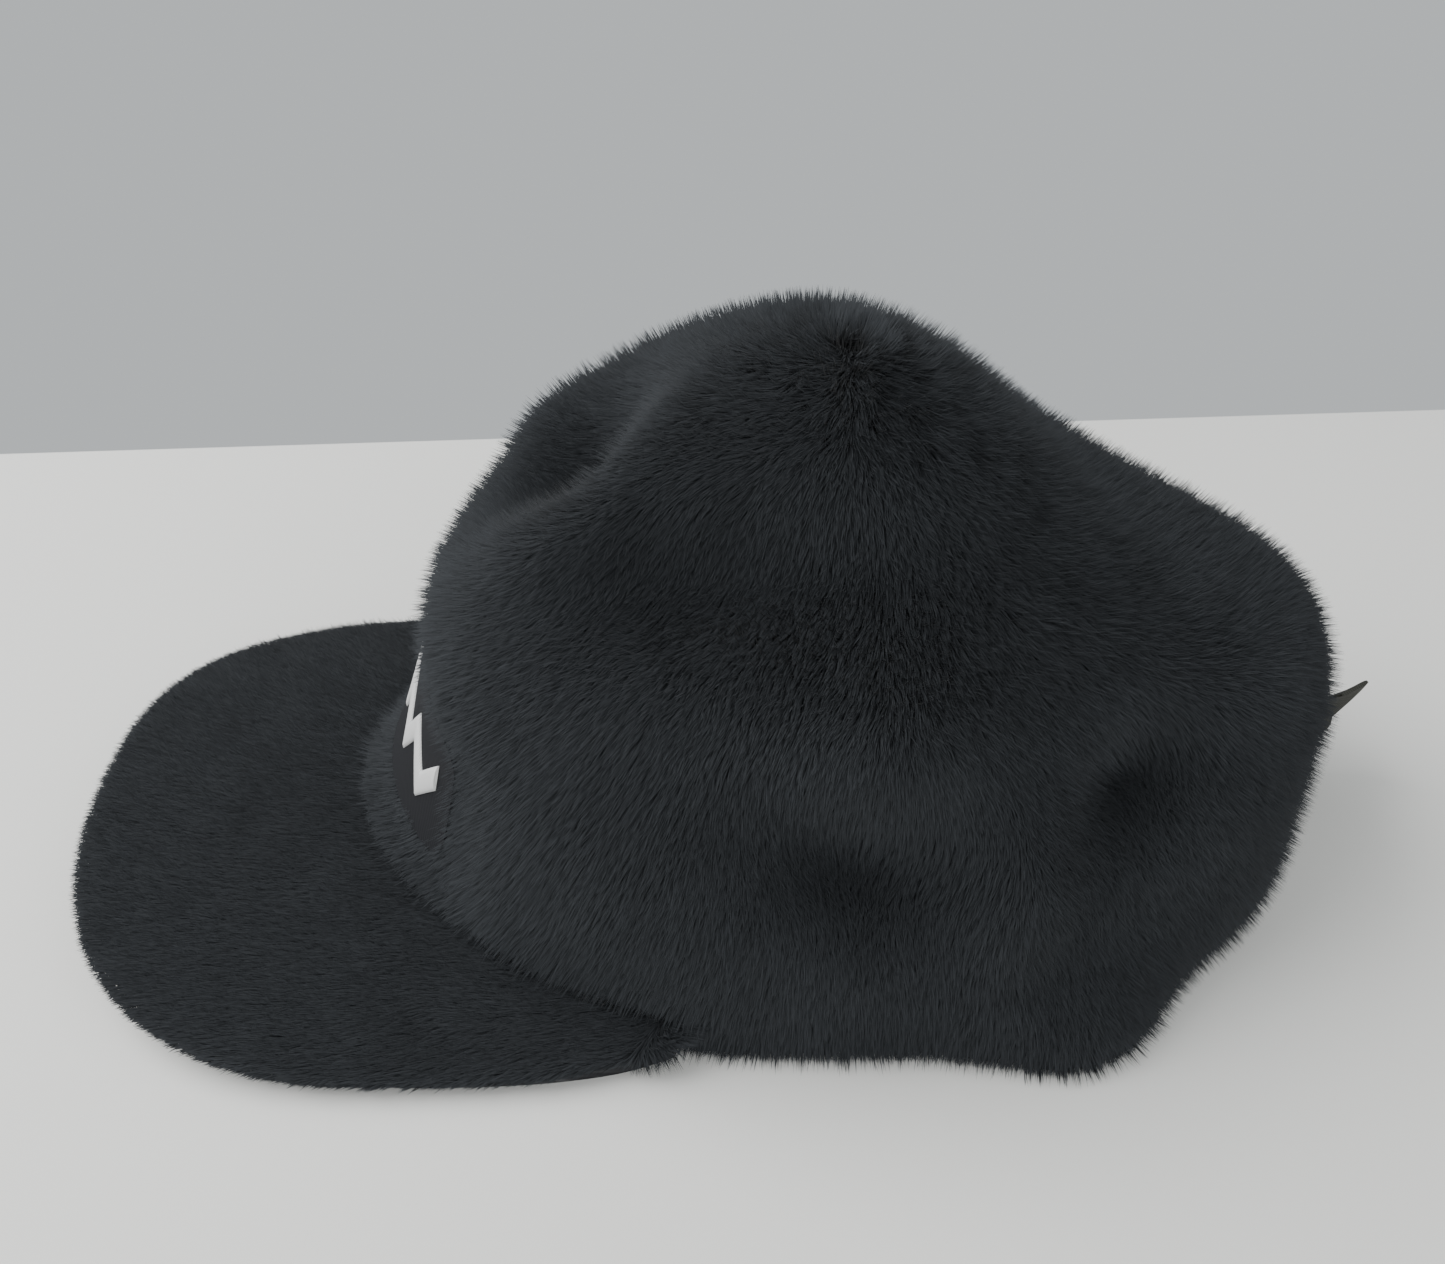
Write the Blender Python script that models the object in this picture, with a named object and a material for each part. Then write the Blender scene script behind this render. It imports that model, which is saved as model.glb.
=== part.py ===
"""A five-panel camp cap in long black faux fur, lying unworn on a table.

Metres, +Z up. The bill points to -Y and the wearer's left is +X. The origin is at the middle of the
cap's outline from above, at the height of the table. Tables and named sizes below are in millimetres.

The crown is one smooth surface, a stack of rings from the hem to the apex, pushed in and out by its
folds. It is charted on a disc whose centre is the apex and whose rim is the hem, and the seams are
curves in that disc. Each panel is a slab of cloth and pile, bent onto its own stretch of the crown,
with its pile raised in locks on the outside and a smooth wall inside.
"""

import math
from collections import namedtuple

import bmesh
import bpy
import numpy as np

MM = 0.001

# Middle of the whole length, bill to strap tail, on the crown's own length scale
Y_MIDDLE = 9.0

# Cloth and gaps
WALL = 6.5
SEAM_GAP = 0.5
INNER_SEAM = 5.0
LOCK_LIFT = 1.9
LOCK_REACH = 0.52
LOCK_LEAST = 0.55

# Bill: an arched, rounded blade
BILL_CENTRE = -62.8
BILL_REACH = 90.0
BILL_HALF_WIDTH = 78.6
BILL_BLUNT = 2.65
BILL_ARCH = 14.6
BILL_EDGE_HEIGHT = 4.0
BILL_PILE = 4.0
BILL_FLAT_FROM = 74.5
BILL_EDGE_ANGLE = 121.0
BILL_HEM_ANGLE = 71.6
BILL_GAP = 0.6

# Patch on the front panel, and the zigzag on it
PATCH_HALF_ANGLE = 32.0
PATCH_LOW, PATCH_HIGH = 0.905, 0.735
PATCH_THICK = 1.2
PATCH_SUNK = 1.8
PATCH_HALF_WIDTH, PATCH_HALF_HEIGHT, PATCH_RADIUS = 42.0, 19.0, 6.0
ZIGZAG_TEETH = 10
ZIGZAG_SPAN = 0.86
ZIGZAG_SWING = 0.30
ZIGZAG_STROKE = 0.24
ZIGZAG_THICK = 0.7
PRINT_GAP = 0.4

# Rear opening and its webbing
ARCH_RIGHT, ARCH_LEFT = -36.0, 22.0
ARCH_RISE = 0.25
ARCH_SQUARENESS = 0.6
WEB_WIDTH = 22.0
WEB_THICK = 1.2
WEB_HEIGHT = 16.0
SLIDER_LENGTH, SLIDER_HEIGHT, SLIDER_THICK = 21.0, 29.0, 2.0
SLIDER_SLOT, SLIDER_BAR = 5.6, 3.2
SLIDER_X, SLIDER_Y, SLIDER_LEAN = -14.6, 142.0, 8.0
BAR_CLEAR = 2.05
WEB_GAP = 0.2

# The crown's rear lies this far to the right of its middle
REAR_SWAY = -8.0

Ring = namedtuple("Ring", "name rho front mid rear half z_front z_left z_right z_rear blunt_front blunt_rear")
RINGS = [
    Ring("apex", 0.00, 18, 18, 18, 0, 137.5, 137.5, 137.5, 137.5, 2.0, 2.0),
    Ring("cap", 0.16, -12, 20, 50, 22, 128, 125, 132, 126, 2.2, 2.0),
    Ring("top", 0.32, -38, 22, 83, 41, 113, 104, 117, 94.5, 2.4, 2.0),
    Ring("shoulder", 0.46, -51, 24, 110.5, 55, 101, 83, 98, 79.5, 2.5, 2.0),
    Ring("upper", 0.60, -60, 25, 133, 65, 86, 62, 73, 70, 2.5, 2.0),
    Ring("waist", 0.74, -68, 25, 144, 71, 66, 41, 47, 52, 2.4, 2.0),
    Ring("lower", 0.87, -77, 25, 145, 72, 41, 20, 22, 27, 2.2, 2.0),
    Ring("flare", 0.95, -86, 25, 144, 72, 25, 8.5, 9, 11, 2.0, 2.0),
    Ring("hem", 1.00, -92, 25, 143, 72, 14.6, 0, 0, 0, 2.0, 2.0),
]

Fold = namedtuple("Fold", "name x y z run_x run_y run_z length breadth push")
FOLDS = [
    Fold("hollow behind the front", -8, -34, 110, 0.5, 1, 0.4, 23, 20, -26),
    Fold("near front corner", 26, -36, 108, 0.3, 1, 0.4, 16, 11, 5),
    Fold("near top ridge", 15, -17, 121, -0.6, 0.7, 0.3, 18, 9, 4),
    Fold("far front corner", -36, -44, 104, 0, 1, 0.3, 16, 12, 6),
    Fold("far top ridge", -40, -14, 113, 0, 1, 0.2, 28, 11, 3),
    Fold("under the near ridge", 37, 4, 105, -0.1, 1, 0, 40, 14, -10),
    Fold("near side dent", 70, 26, 54, 0.1, 1, -0.4, 22, 14, -12),
    Fold("near rear dent", 54, 86, 66, 0, 0.8, 0.4, 20, 13, -12),
    Fold("near side lump", 56, 30, 80, 0, 1, 0, 22, 12, 7),
    Fold("near side upright ridge", 68, 60, 48, 0, 0.2, 1, 26, 9, 5),
    Fold("near rear shoulder", 30, 112, 76, -0.6, 0.6, 0, 22, 12, 3),
    Fold("near rear hem flare", 66, 76, 4, -0.4, 0.9, 0, 24, 18, 10),
    Fold("near rear quarter", 38, 118, 16, -0.8, 0.6, 0, 20, 22, 4),
    Fold("far side dent", -68, 40, 60, 0, 1, 0.2, 30, 16, -6),
]

Seam = namedtuple("Seam", "name angle_a rho_a angle_m rho_m angle_b rho_b")
SEAMS = [
    Seam("front_left", 66, 1.00, 55, 0.68, 40, 0.37),
    Seam("front_right", -66, 1.00, -55, 0.68, -40, 0.37),
    Seam("front_top", -40, 0.37, 0, 0.44, 40, 0.37),
    Seam("top_left", 40, 0.37, 86, 0.20, 150, 0.42),
    Seam("top_right", -40, 0.37, -86, 0.20, -150, 0.42),
    Seam("rear_top", -150, 0.42, 180, 0.43, 150, 0.42),
    Seam("rear_left", 128, 1.00, 133, 0.70, 150, 0.42),
    Seam("rear_right", -128, 1.00, -133, 0.70, -150, 0.42),
]


Finish = namedtuple("Finish", "name red green blue roughness")
FUR = Finish("black_faux_fur", 0.016, 0.016, 0.018, 0.75)
PATCH_CLOTH = Finish("black_patch_twill", 0.012, 0.012, 0.014, 0.6)
PRINT_WHITE = Finish("white_print", 0.85, 0.85, 0.85, 0.5)
WEBBING = Finish("dark_webbing", 0.020, 0.020, 0.014, 0.8)
SLIDER_PLASTIC = Finish("black_plastic", 0.010, 0.010, 0.010, 0.4)


def smooth_step(value):
    value = np.clip(value, 0.0, 1.0)
    return value * value * (3.0 - 2.0 * value)


def unit(vectors):
    return vectors / np.maximum(np.linalg.norm(vectors, axis=-1, keepdims=True), 1e-9)


def through_knots(places, values, at, flat_start=None):
    """A cubic through the rows of values at the rising places, read at the places in at."""
    places = np.asarray(places, float)
    values = np.asarray(values, float)
    steps = np.diff(places)[:, None]
    rises = np.diff(values, axis=0) / steps
    slopes = np.empty_like(values)
    slopes[1:-1] = (rises[:-1] * steps[1:] + rises[1:] * steps[:-1]) / (steps[1:] + steps[:-1])
    slopes[0] = rises[0]
    slopes[-1] = rises[-1]
    if flat_start is not None:
        slopes[0] = np.where(flat_start, 0.0, slopes[0])
    at = np.asarray(at, float)
    row = np.clip(np.searchsorted(places, at, side="right") - 1, 0, len(places) - 2)
    step = (places[row + 1] - places[row])[:, None]
    part = np.minimum((at - places[row])[:, None] / step, 1.0)
    beyond = np.maximum(at - places[-1], 0.0)[:, None]
    square = part * part
    cube = square * part
    curve = (
        (2 * cube - 3 * square + 1) * values[row]
        + (cube - 2 * square + part) * step * slopes[row]
        + (3 * square - 2 * cube) * values[row + 1]
        + (cube - square) * step * slopes[row + 1]
    )
    return curve + beyond * slopes[-1]


RING_RHO = [ring.rho for ring in RINGS]
RING_SIZES = [ring[2:] for ring in RINGS]
RING_LEVEL = np.array([name.startswith(("z_", "blunt")) for name in Ring._fields[2:]])


def ring_stack(chart):
    """The crown without its folds, at points of the disc chart."""
    chart = np.asarray(chart, float)
    rho = np.hypot(chart[:, 0], chart[:, 1])
    safe = np.maximum(rho, 1e-9)
    side = chart[:, 0] / safe
    ahead = np.where(rho > 1e-9, -chart[:, 1] / safe, 1.0)
    sizes = through_knots(RING_RHO, RING_SIZES, rho, RING_LEVEL).T
    front, mid, rear, half, z_front, z_left, z_right, z_rear, blunt_front, blunt_rear = sizes
    facing = ahead > 0
    blunt = np.where(facing, blunt_front, blunt_rear)
    fill = (np.abs(side) ** blunt + np.abs(ahead) ** blunt) ** (-1.0 / blunt)
    reach = np.where(facing, mid - front, rear - mid)
    z_end = np.where(facing, z_front, z_rear)
    z_side = np.where(side > 0, z_left, z_right)
    x = half * side * fill
    y = mid - reach * ahead * fill
    z = z_side + (z_end - z_side) * ahead**2
    x = x + REAR_SWAY * np.clip((y - mid) / 117.0, 0.0, 1.2) ** 2
    return np.stack([x, y, z], 1)


def normals_of(surface, chart, step=0.006):
    chart = np.asarray(chart, float)
    across = surface(chart + [step, 0.0]) - surface(chart - [step, 0.0])
    along = surface(chart + [0.0, step]) - surface(chart - [0.0, step])
    return unit(np.cross(across, along))


def patch_place(chart):
    """Where a chart point lies on the patch: -1 to 1 across it and up it."""
    chart = np.asarray(chart, float)
    rho = np.hypot(chart[:, 0], chart[:, 1])
    angle = np.degrees(np.arctan2(chart[:, 0], -chart[:, 1]))
    up = (rho - PATCH_LOW) / (PATCH_HIGH - PATCH_LOW) * 2.0 - 1.0
    return angle / PATCH_HALF_ANGLE, up


def pile(chart):
    """The crown's outside, with its folds."""
    base = ring_stack(chart)
    out = normals_of(ring_stack, chart)
    push = np.zeros(len(base))
    for fold in FOLDS:
        away = base - [fold.x, fold.y, fold.z]
        run = unit(np.array([fold.run_x, fold.run_y, fold.run_z], float))
        along = away @ run
        aside = np.maximum((away**2).sum(1) - along**2, 0.0)
        push += fold.push * np.exp(-((along / fold.length) ** 2) - aside / fold.breadth**2)
    across, up = patch_place(chart)
    bed = smooth_step((1.36 - np.abs(across)) / 0.22) * smooth_step((1.66 - np.abs(up)) / 0.42)
    low = np.hypot(chart[:, 0], chart[:, 1])
    level = 1.0 - smooth_step((low - 0.93) / 0.06)
    push = push - PATCH_SUNK * bed * level
    moved = base + out * push[:, None]
    hem = smooth_step((low - 0.93) / 0.07)
    moved[:, 2] += (base[:, 2] - moved[:, 2]) * hem
    return moved


def uneven(s, t):
    """A number from 0 to 1 that changes from lock to lock."""
    return (np.sin(s * 127.1 + t * 311.7) * 43758.55) % 1.0


def chart_point(angle, rho):
    angle = np.radians(angle)
    return np.stack([np.sin(angle) * rho, -np.cos(angle) * rho], -1)


def seam(name):
    """A seam as a curve in the chart, through its start, middle and end."""
    row = next(item for item in SEAMS if item.name == name)
    start = chart_point(row.angle_a, row.rho_a)
    middle = chart_point(row.angle_m, row.rho_m)
    end = chart_point(row.angle_b, row.rho_b)

    def curve(part):
        part = np.asarray(part, float)[:, None]
        return (
            start * (1 - part) * (1 - 2 * part)
            + middle * 4 * part * (1 - part)
            + end * part * (2 * part - 1)
        )

    return curve


def hem_arc(start, end):
    def curve(part):
        return chart_point(start + (end - start) * np.asarray(part, float), 1.0)

    return curve


REAR_COLUMNS_RIGHT, REAR_COLUMNS_ARCH, REAR_COLUMNS_LEFT = 3, 10, 5
REAR_COLUMNS = REAR_COLUMNS_RIGHT + REAR_COLUMNS_ARCH + REAR_COLUMNS_LEFT
REAR_EDGE = 52.0


def arched_hem(part):
    """The back panel's lower edge: the right leg, the arch over the strap, and the left leg."""
    column = np.asarray(part, float) * REAR_COLUMNS
    turn = np.clip((column - REAR_COLUMNS_RIGHT) / REAR_COLUMNS_ARCH, 0.0, 1.0) * math.pi
    angle = (ARCH_RIGHT + ARCH_LEFT) / 2.0 - (ARCH_LEFT - ARCH_RIGHT) / 2.0 * np.cos(turn)
    before = np.clip(column / REAR_COLUMNS_RIGHT, 0.0, 1.0)
    after = np.clip((column - REAR_COLUMNS_RIGHT - REAR_COLUMNS_ARCH) / REAR_COLUMNS_LEFT, 0.0, 1.0)
    angle = angle - (REAR_EDGE + ARCH_RIGHT) * (1.0 - before) + (REAR_EDGE - ARCH_LEFT) * after
    return chart_point(180.0 - angle, 1.0 - ARCH_RISE * np.sin(turn) ** ARCH_SQUARENESS)


def panel_chart(bottom, top, left, right, part_s, part_t):
    """Coons patch between four curves of the chart."""
    s = part_s[:, None]
    t = part_t[:, None]
    corners = (
        bottom(np.zeros(1)) * (1 - s) * (1 - t)
        + bottom(np.ones(1)) * s * (1 - t)
        + top(np.zeros(1)) * (1 - s) * t
        + top(np.ones(1)) * s * t
    )
    return bottom(part_s) * (1 - t) + top(part_s) * t + left(part_t) * (1 - s) + right(part_t) * s - corners


def seam_paces(edges, count=41):
    """How far the surface runs from each of the four seams per unit of the slab, square to the seam."""
    line = np.linspace(0.0, 1.0, count)
    step = 0.01

    def pace(s, t, inward_s, inward_t):
        here = pile(panel_chart(*edges, s, t))
        inner = pile(panel_chart(*edges, s + inward_s * step, t + inward_t * step))
        after = pile(panel_chart(*edges, s + abs(inward_t) * step, t + abs(inward_s) * step))
        run = unit(after - here)
        return np.linalg.norm(np.cross(inner - here, run), axis=1) / step

    start = np.zeros(count)
    end = np.ones(count)
    return line, pace(line, start, 0, 1), pace(line, end, 0, -1), pace(start, line, 1, 0), pace(end, line, -1, 0)


def panel_place(edges, inset, rows):
    """Bends a slab onto the crown. inset says which of bottom, top, left and right stand off a seam."""
    line, pace_bottom, pace_top, pace_left, pace_right = seam_paces(edges)
    bottom, top, left, right = inset
    middle = panel_chart(*edges, np.full(25, 0.5), np.linspace(0.0, 1.0, 25))
    height = np.linalg.norm(np.diff(pile(middle), axis=0), axis=1).sum()

    def place(s, t, level):
        half = 0.5 * SEAM_GAP * np.where(level < 0.5, INNER_SEAM, 1.0)
        part_s = s + half * left * (1 - s) / np.interp(t, line, pace_left)
        part_s = part_s - half * right * s / np.interp(t, line, pace_right)
        part_t = t + half * bottom * (1 - t) / np.interp(s, line, pace_bottom)
        part_t = part_t - half * top * t / np.interp(s, line, pace_top)
        chart = panel_chart(*edges, part_s, part_t)
        spot = pile(chart)
        out = normals_of(pile, chart)
        rho = np.hypot(chart[:, 0], chart[:, 1])
        low = smooth_step((rho - 0.94) / 0.06)[:, None]
        inward = unit(out * [1.0, 1.0, 0.0] * low + out * (1.0 - low))
        inner = spot - inward * WALL

        ahead = pile(panel_chart(*edges, part_s, part_t - 0.02))
        lay = unit(ahead - spot)
        aside = np.cross(out, lay)
        angle = np.degrees(np.arctan2(chart[:, 0], -chart[:, 1]))
        across, up = patch_place(chart)
        bare = (np.abs(across) < 1.14) & (np.abs(up) < 1.3)
        by_bill = (np.abs(angle) < 84.0) & (spot[:, 2] < bill_top(spot[:, 0]) + 7.0)
        size = LOCK_LEAST + (1.0 - LOCK_LEAST) * uneven(s, t)
        size = np.where(bare | by_bill, 0.0, size) * smooth_step((spot[:, 2] - 1.0) / 4.0)
        reach = LOCK_REACH * height / rows
        sway = (uneven(t, s) - 0.5) * 0.4
        tip = spot + out * (LOCK_LIFT * size)[:, None]
        tip = tip + (lay + aside * sway[:, None]) * (reach * size)[:, None]
        tip[:, 2] = np.maximum(tip[:, 2], np.minimum(spot[:, 2], 1.0))
        level = level[:, None]
        return np.where(level < 0.5, inner, np.where(level > 1.5, tip, spot))

    return place


def bill_mid(x):
    return BILL_EDGE_HEIGHT + BILL_ARCH * np.clip(1.0 - (x / BILL_HALF_WIDTH) ** 2, 0.0, 1.0)


def bill_top(x):
    return bill_mid(x) + BILL_PILE


def crown_at_height(angle, height):
    """The crown's outside at an angle, at a height near its hem."""
    steps = np.linspace(0.86, 1.0, 29)
    out = np.empty((len(angle), 2))
    for i, (one, z) in enumerate(zip(angle, height)):
        points = pile(chart_point(np.full(len(steps), one), steps))
        order = points[::-1]
        out[i] = [np.interp(z, order[:, 2], order[:, k]) for k in (0, 1)]
    return out


def at_slider(along, out):
    """A place beside the slider: along it toward the wearer's left, and out from its middle plane."""
    lean = math.radians(SLIDER_LEAN)
    x = SLIDER_X + along * math.cos(lean) - out * math.sin(lean)
    return x, SLIDER_Y + along * math.sin(lean) + out * math.cos(lean)


def inside_wall(from_rear):
    """A place for webbing inside the wall, at an angle from the rear, + to the left."""
    heights = WEB_HEIGHT + WEB_WIDTH * np.linspace(-0.6, 0.6, 7)
    angle = 180.0 - from_rear
    out = unit(normals_of(pile, [chart_point(angle, 0.92)])[0] * [1.0, 1.0, 0.0])[:2]
    spots = crown_at_height(np.full(7, angle), heights)
    middle = spots[3]
    inmost = ((spots - middle) @ out).min()
    spot = middle + out * (inmost - WALL - WEB_GAP - WEB_THICK)
    return spot[0], spot[1]


Knot = namedtuple("Knot", "name x y z twist")


def strap_knots():
    """The long webbing, from inside the left of the arch through the slider to its free end."""
    return [
        Knot("sewn end inside the wall", *inside_wall(42.0), 16, 0),
        Knot("along the wall", *inside_wall(33.0), 16, 0),
        Knot("nears the opening", *inside_wall(25.0), 16, 0),
        Knot("clears the wall", 14.6, 127.8, 16, 0),
        Knot("swells out", 9.4, 134.6, 16, 0),
        Knot("rounds over", 4.0, 141.2, 16, 0),
        Knot("nears the slider", *at_slider(14.0, -BAR_CLEAR), 16, 0),
        Knot("behind the near bar", *at_slider(10.0, -BAR_CLEAR), 16, 0),
        Knot("at the slot", *at_slider(7.0, -BAR_CLEAR), 16, 0),
        Knot("through the slot", *at_slider(4.4, 0.0), 16, 0),
        Knot("past the middle bar", *at_slider(2.0, 2.9), 16, 0),
        Knot("tail leaves", *at_slider(0.8, 8.0), 16.2, -8),
        Knot("tail half way", -13.2, 156.0, 21.4, -34),
        Knot("tail end", -11.0, 163.0, 30.5, -54),
    ]


def stub_knots():
    """The short webbing, from inside the right of the arch, round the slider's far bar and back."""
    return [
        Knot("sewn end inside the wall", *inside_wall(-50.0), 16, 0),
        Knot("along the wall", *inside_wall(-43.0), 16, 0),
        Knot("nears the opening", *inside_wall(-36.0), 16, 0),
        Knot("clears the wall", -35.0, 129.5, 16, 0),
        Knot("nears the slider", *at_slider(-14.0, 0.6), 16, 0),
        Knot("over the far bar", *at_slider(-8.9, BAR_CLEAR), 16, 0),
        Knot("into the slot", *at_slider(-6.5, 1.8), 16, 0),
        Knot("round the bar", *at_slider(-5.4, 0.0), 16, 0),
        Knot("out of the slot", *at_slider(-6.5, -1.8), 16, 0),
        Knot("under the far bar", *at_slider(-8.9, -BAR_CLEAR), 16, 0),
        Knot("sewn end", *at_slider(-13.5, -2.6), 16, 0),
    ]


BILL_COLUMNS, BILL_ROWS = 28, 8


def bill_place(s, t, level):
    turn = 2.0 * s - 1.0
    hem_angle = turn * BILL_HEM_ANGLE
    edge_angle = np.radians(turn * BILL_EDGE_ANGLE)
    side, ahead = np.sin(edge_angle), np.cos(edge_angle)
    fill = (np.abs(side) ** BILL_BLUNT + np.abs(ahead) ** BILL_BLUNT) ** (-1.0 / BILL_BLUNT)
    edge = np.stack([BILL_HALF_WIDTH * side * fill, BILL_CENTRE - BILL_REACH * ahead * fill], 1)
    hem_x = chart_point(hem_angle, 1.0)[:, 0] * RINGS[-1].half
    height = np.where(level < 0.5, bill_mid(hem_x) - 4.0, bill_top(hem_x))
    root = crown_at_height(hem_angle, height)
    away = unit(np.stack([np.sin(np.radians(hem_angle)), -np.cos(np.radians(hem_angle))], 1))
    root = root + away * BILL_GAP
    plan = root * (1 - t[:, None]) + edge * t[:, None]
    x = plan[:, 0]
    rim = smooth_step((t - 0.86) / 0.14)
    top = bill_mid(x) + BILL_PILE * (1.0 - 0.7 * rim)
    under = BILL_ARCH * np.clip(1.0 - (x / BILL_FLAT_FROM) ** 2, 0.0, 1.0)
    under = under + (bill_mid(x) - 1.2 - under) * smooth_step((t - 0.93) / 0.07)
    lock = smooth_step((1.0 - t) / 0.06) * smooth_step((t - 0.05) / 0.05)
    size = lock * (LOCK_LEAST + (1.0 - LOCK_LEAST) * uneven(s, t))
    forward = (edge - root) / BILL_ROWS
    tip = np.column_stack([plan + forward * (LOCK_REACH * size)[:, None], top + 1.7 * size])
    flat = np.column_stack([plan, top])
    base = np.column_stack([plan, under])
    level = level[:, None]
    return np.where(level < 0.5, base, np.where(level > 1.5, tip, flat))


def bed_frame(across, up):
    """The pressed-in pile under the patch, at -1 to 1 across and up it."""
    angle = across * PATCH_HALF_ANGLE
    rho = PATCH_LOW + (PATCH_HIGH - PATCH_LOW) * (up + 1.0) / 2.0
    chart = chart_point(angle, rho)
    return pile(chart), normals_of(pile, chart)


def patch_on_bed(s, t, level):
    """A rectangle with round corners: each row is as wide as the corner arcs leave it."""
    up = np.sin((t - 0.5) * math.pi)
    over = np.clip((np.abs(up) - 1.0) * PATCH_HALF_HEIGHT / PATCH_RADIUS + 1.0, 0.0, 1.0)
    cut = PATCH_RADIUS / PATCH_HALF_WIDTH
    half = 1.0 - cut * (1.0 - np.sqrt(np.maximum(1.0 - over**2, 0.0)))
    spot, out = bed_frame((2.0 * s - 1.0) * half, up)
    return spot + out * (PRINT_GAP + PATCH_THICK * level)[:, None]


def zigzag_on_patch(s, t, level):
    """A band that swings up and down along the patch, as wide as its stroke measured straight up."""
    across = (2.0 * t - 1.0) * ZIGZAG_SPAN
    swing = np.abs((t * ZIGZAG_TEETH) % 2.0 - 1.0) * 2.0 - 1.0
    up = swing * ZIGZAG_SWING + (2.0 * s - 1.0) * ZIGZAG_STROKE
    spot, out = bed_frame(across, up)
    return spot + out * (2 * PRINT_GAP + PATCH_THICK + ZIGZAG_THICK * level)[:, None]


def web_place(knots):
    """Bends a slab into webbing along the knots, its width upright where the twist is 0."""
    points = np.array([[knot.x, knot.y, knot.z] for knot in knots], float)
    run = np.concatenate([[0.0], np.cumsum(np.linalg.norm(np.diff(points, axis=0), axis=1))])
    run = run / run[-1]
    twists = np.array([[knot.twist] for knot in knots], float)

    def place(s, t, level):
        centre = through_knots(run, points, t)
        after = through_knots(run, points, np.minimum(t + 0.004, 1.0))
        ahead = unit(after - through_knots(run, points, np.maximum(t - 0.004, 0.0)))
        twist = np.radians(through_knots(run, twists, t))
        out = unit(np.cross([0.0, 0.0, 1.0], ahead))
        wide = unit(np.cross(ahead, out))
        face = out * np.cos(twist) - wide * np.sin(twist)
        wide = wide * np.cos(twist) + out * np.sin(twist)
        offset = wide * ((s - 0.5) * WEB_WIDTH)[:, None] + face * ((level - 0.5) * WEB_THICK)[:, None]
        return centre + offset

    return place


def material_of(finish):
    found = bpy.data.materials.get(finish.name)
    if found:
        return found
    material = bpy.data.materials.new(finish.name)
    material.use_nodes = True
    shader = material.node_tree.nodes["Principled BSDF"]
    shader.inputs["Base Color"].default_value = (finish.red, finish.green, finish.blue, 1.0)
    shader.inputs["Roughness"].default_value = finish.roughness
    shader.inputs["Metallic"].default_value = 0.0
    return material


def object_from(name, mesh_data, collection, finish):
    mesh_data.materials.append(material_of(finish))
    made = bpy.data.objects.new(name, mesh_data)
    collection.objects.link(made)
    return made


def slab(name, columns, rows, place, collection, finish, locks=False):
    """A flat slab of cells, poked into locks on top if asked, then bent by place(s, t, level)."""
    body = bmesh.new()
    bmesh.ops.create_grid(body, x_segments=columns, y_segments=rows, size=0.5)
    lower = list(body.faces)
    raised = bmesh.ops.extrude_face_region(body, geom=lower, use_keep_orig=True)
    upper = [item for item in raised["geom"] if isinstance(item, bmesh.types.BMFace)]
    for vert in {vert for face in upper for vert in face.verts}:
        vert.co.z = 1.0
    if locks:
        poked = bmesh.ops.poke(body, faces=upper)
        for vert in poked["verts"]:
            vert.co.z = 2.0
    bmesh.ops.recalc_face_normals(body, faces=body.faces)
    flat = np.array([vert.co for vert in body.verts])
    s = np.clip(flat[:, 0] + 0.5, 0.0, 1.0)
    t = np.clip(flat[:, 1] + 0.5, 0.0, 1.0)
    bent = place(s, t, flat[:, 2].round())
    bent = (bent - [0.0, Y_MIDDLE, 0.0]) * MM
    for vert, spot in zip(body.verts, bent):
        vert.co = spot
    if body.calc_volume(signed=True) < 0:
        bmesh.ops.reverse_faces(body, faces=body.faces)
    mesh_data = bpy.data.meshes.new(name)
    body.to_mesh(mesh_data)
    body.free()
    return object_from(name, mesh_data, collection, finish)


def slider_frame(name, collection, cutters, finish):
    """A flat frame with two slots, standing across the strap near the middle of the rear opening."""
    bpy.ops.mesh.primitive_cube_add(size=1.0)
    frame = bpy.context.object
    frame.name = name
    frame.data.name = name
    for vert in frame.data.vertices:
        vert.co = [vert.co.x * SLIDER_LENGTH * MM, vert.co.y * SLIDER_THICK * MM, vert.co.z * SLIDER_HEIGHT * MM]
    for other in frame.users_collection:
        other.objects.unlink(frame)
    collection.objects.link(frame)
    frame.data.materials.append(material_of(finish))
    centre = (SLIDER_X * MM, (SLIDER_Y - Y_MIDDLE) * MM, WEB_HEIGHT * MM)
    lean = math.radians(SLIDER_LEAN)
    frame.location = centre
    frame.rotation_euler = (0.0, 0.0, lean)
    for number, side in enumerate((-1, 1)):
        bpy.ops.mesh.primitive_cube_add(size=1.0)
        cutter = bpy.context.object
        cutter.name = f"slot_cutter_{number + 1}"
        shift = side * (SLIDER_BAR + SLIDER_SLOT) / 2.0
        for vert in cutter.data.vertices:
            vert.co = [
                (vert.co.x * SLIDER_SLOT + shift) * MM,
                vert.co.y * SLIDER_THICK * 3.0 * MM,
                vert.co.z * (WEB_WIDTH + 2.6) * MM,
            ]
        cutter.location = centre
        cutter.rotation_euler = (0.0, 0.0, lean)
        for other in cutter.users_collection:
            other.objects.unlink(cutter)
        cutters.objects.link(cutter)
        cutter.hide_render = True
        cutter.display_type = "WIRE"
        cut = frame.modifiers.new(f"slot_{number + 1}", "BOOLEAN")
        cut.operation = "DIFFERENCE"
        cut.object = cutter
    return frame


def clear_scene():
    for old in list(bpy.data.objects):
        bpy.data.objects.remove(old, do_unlink=True)


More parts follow.
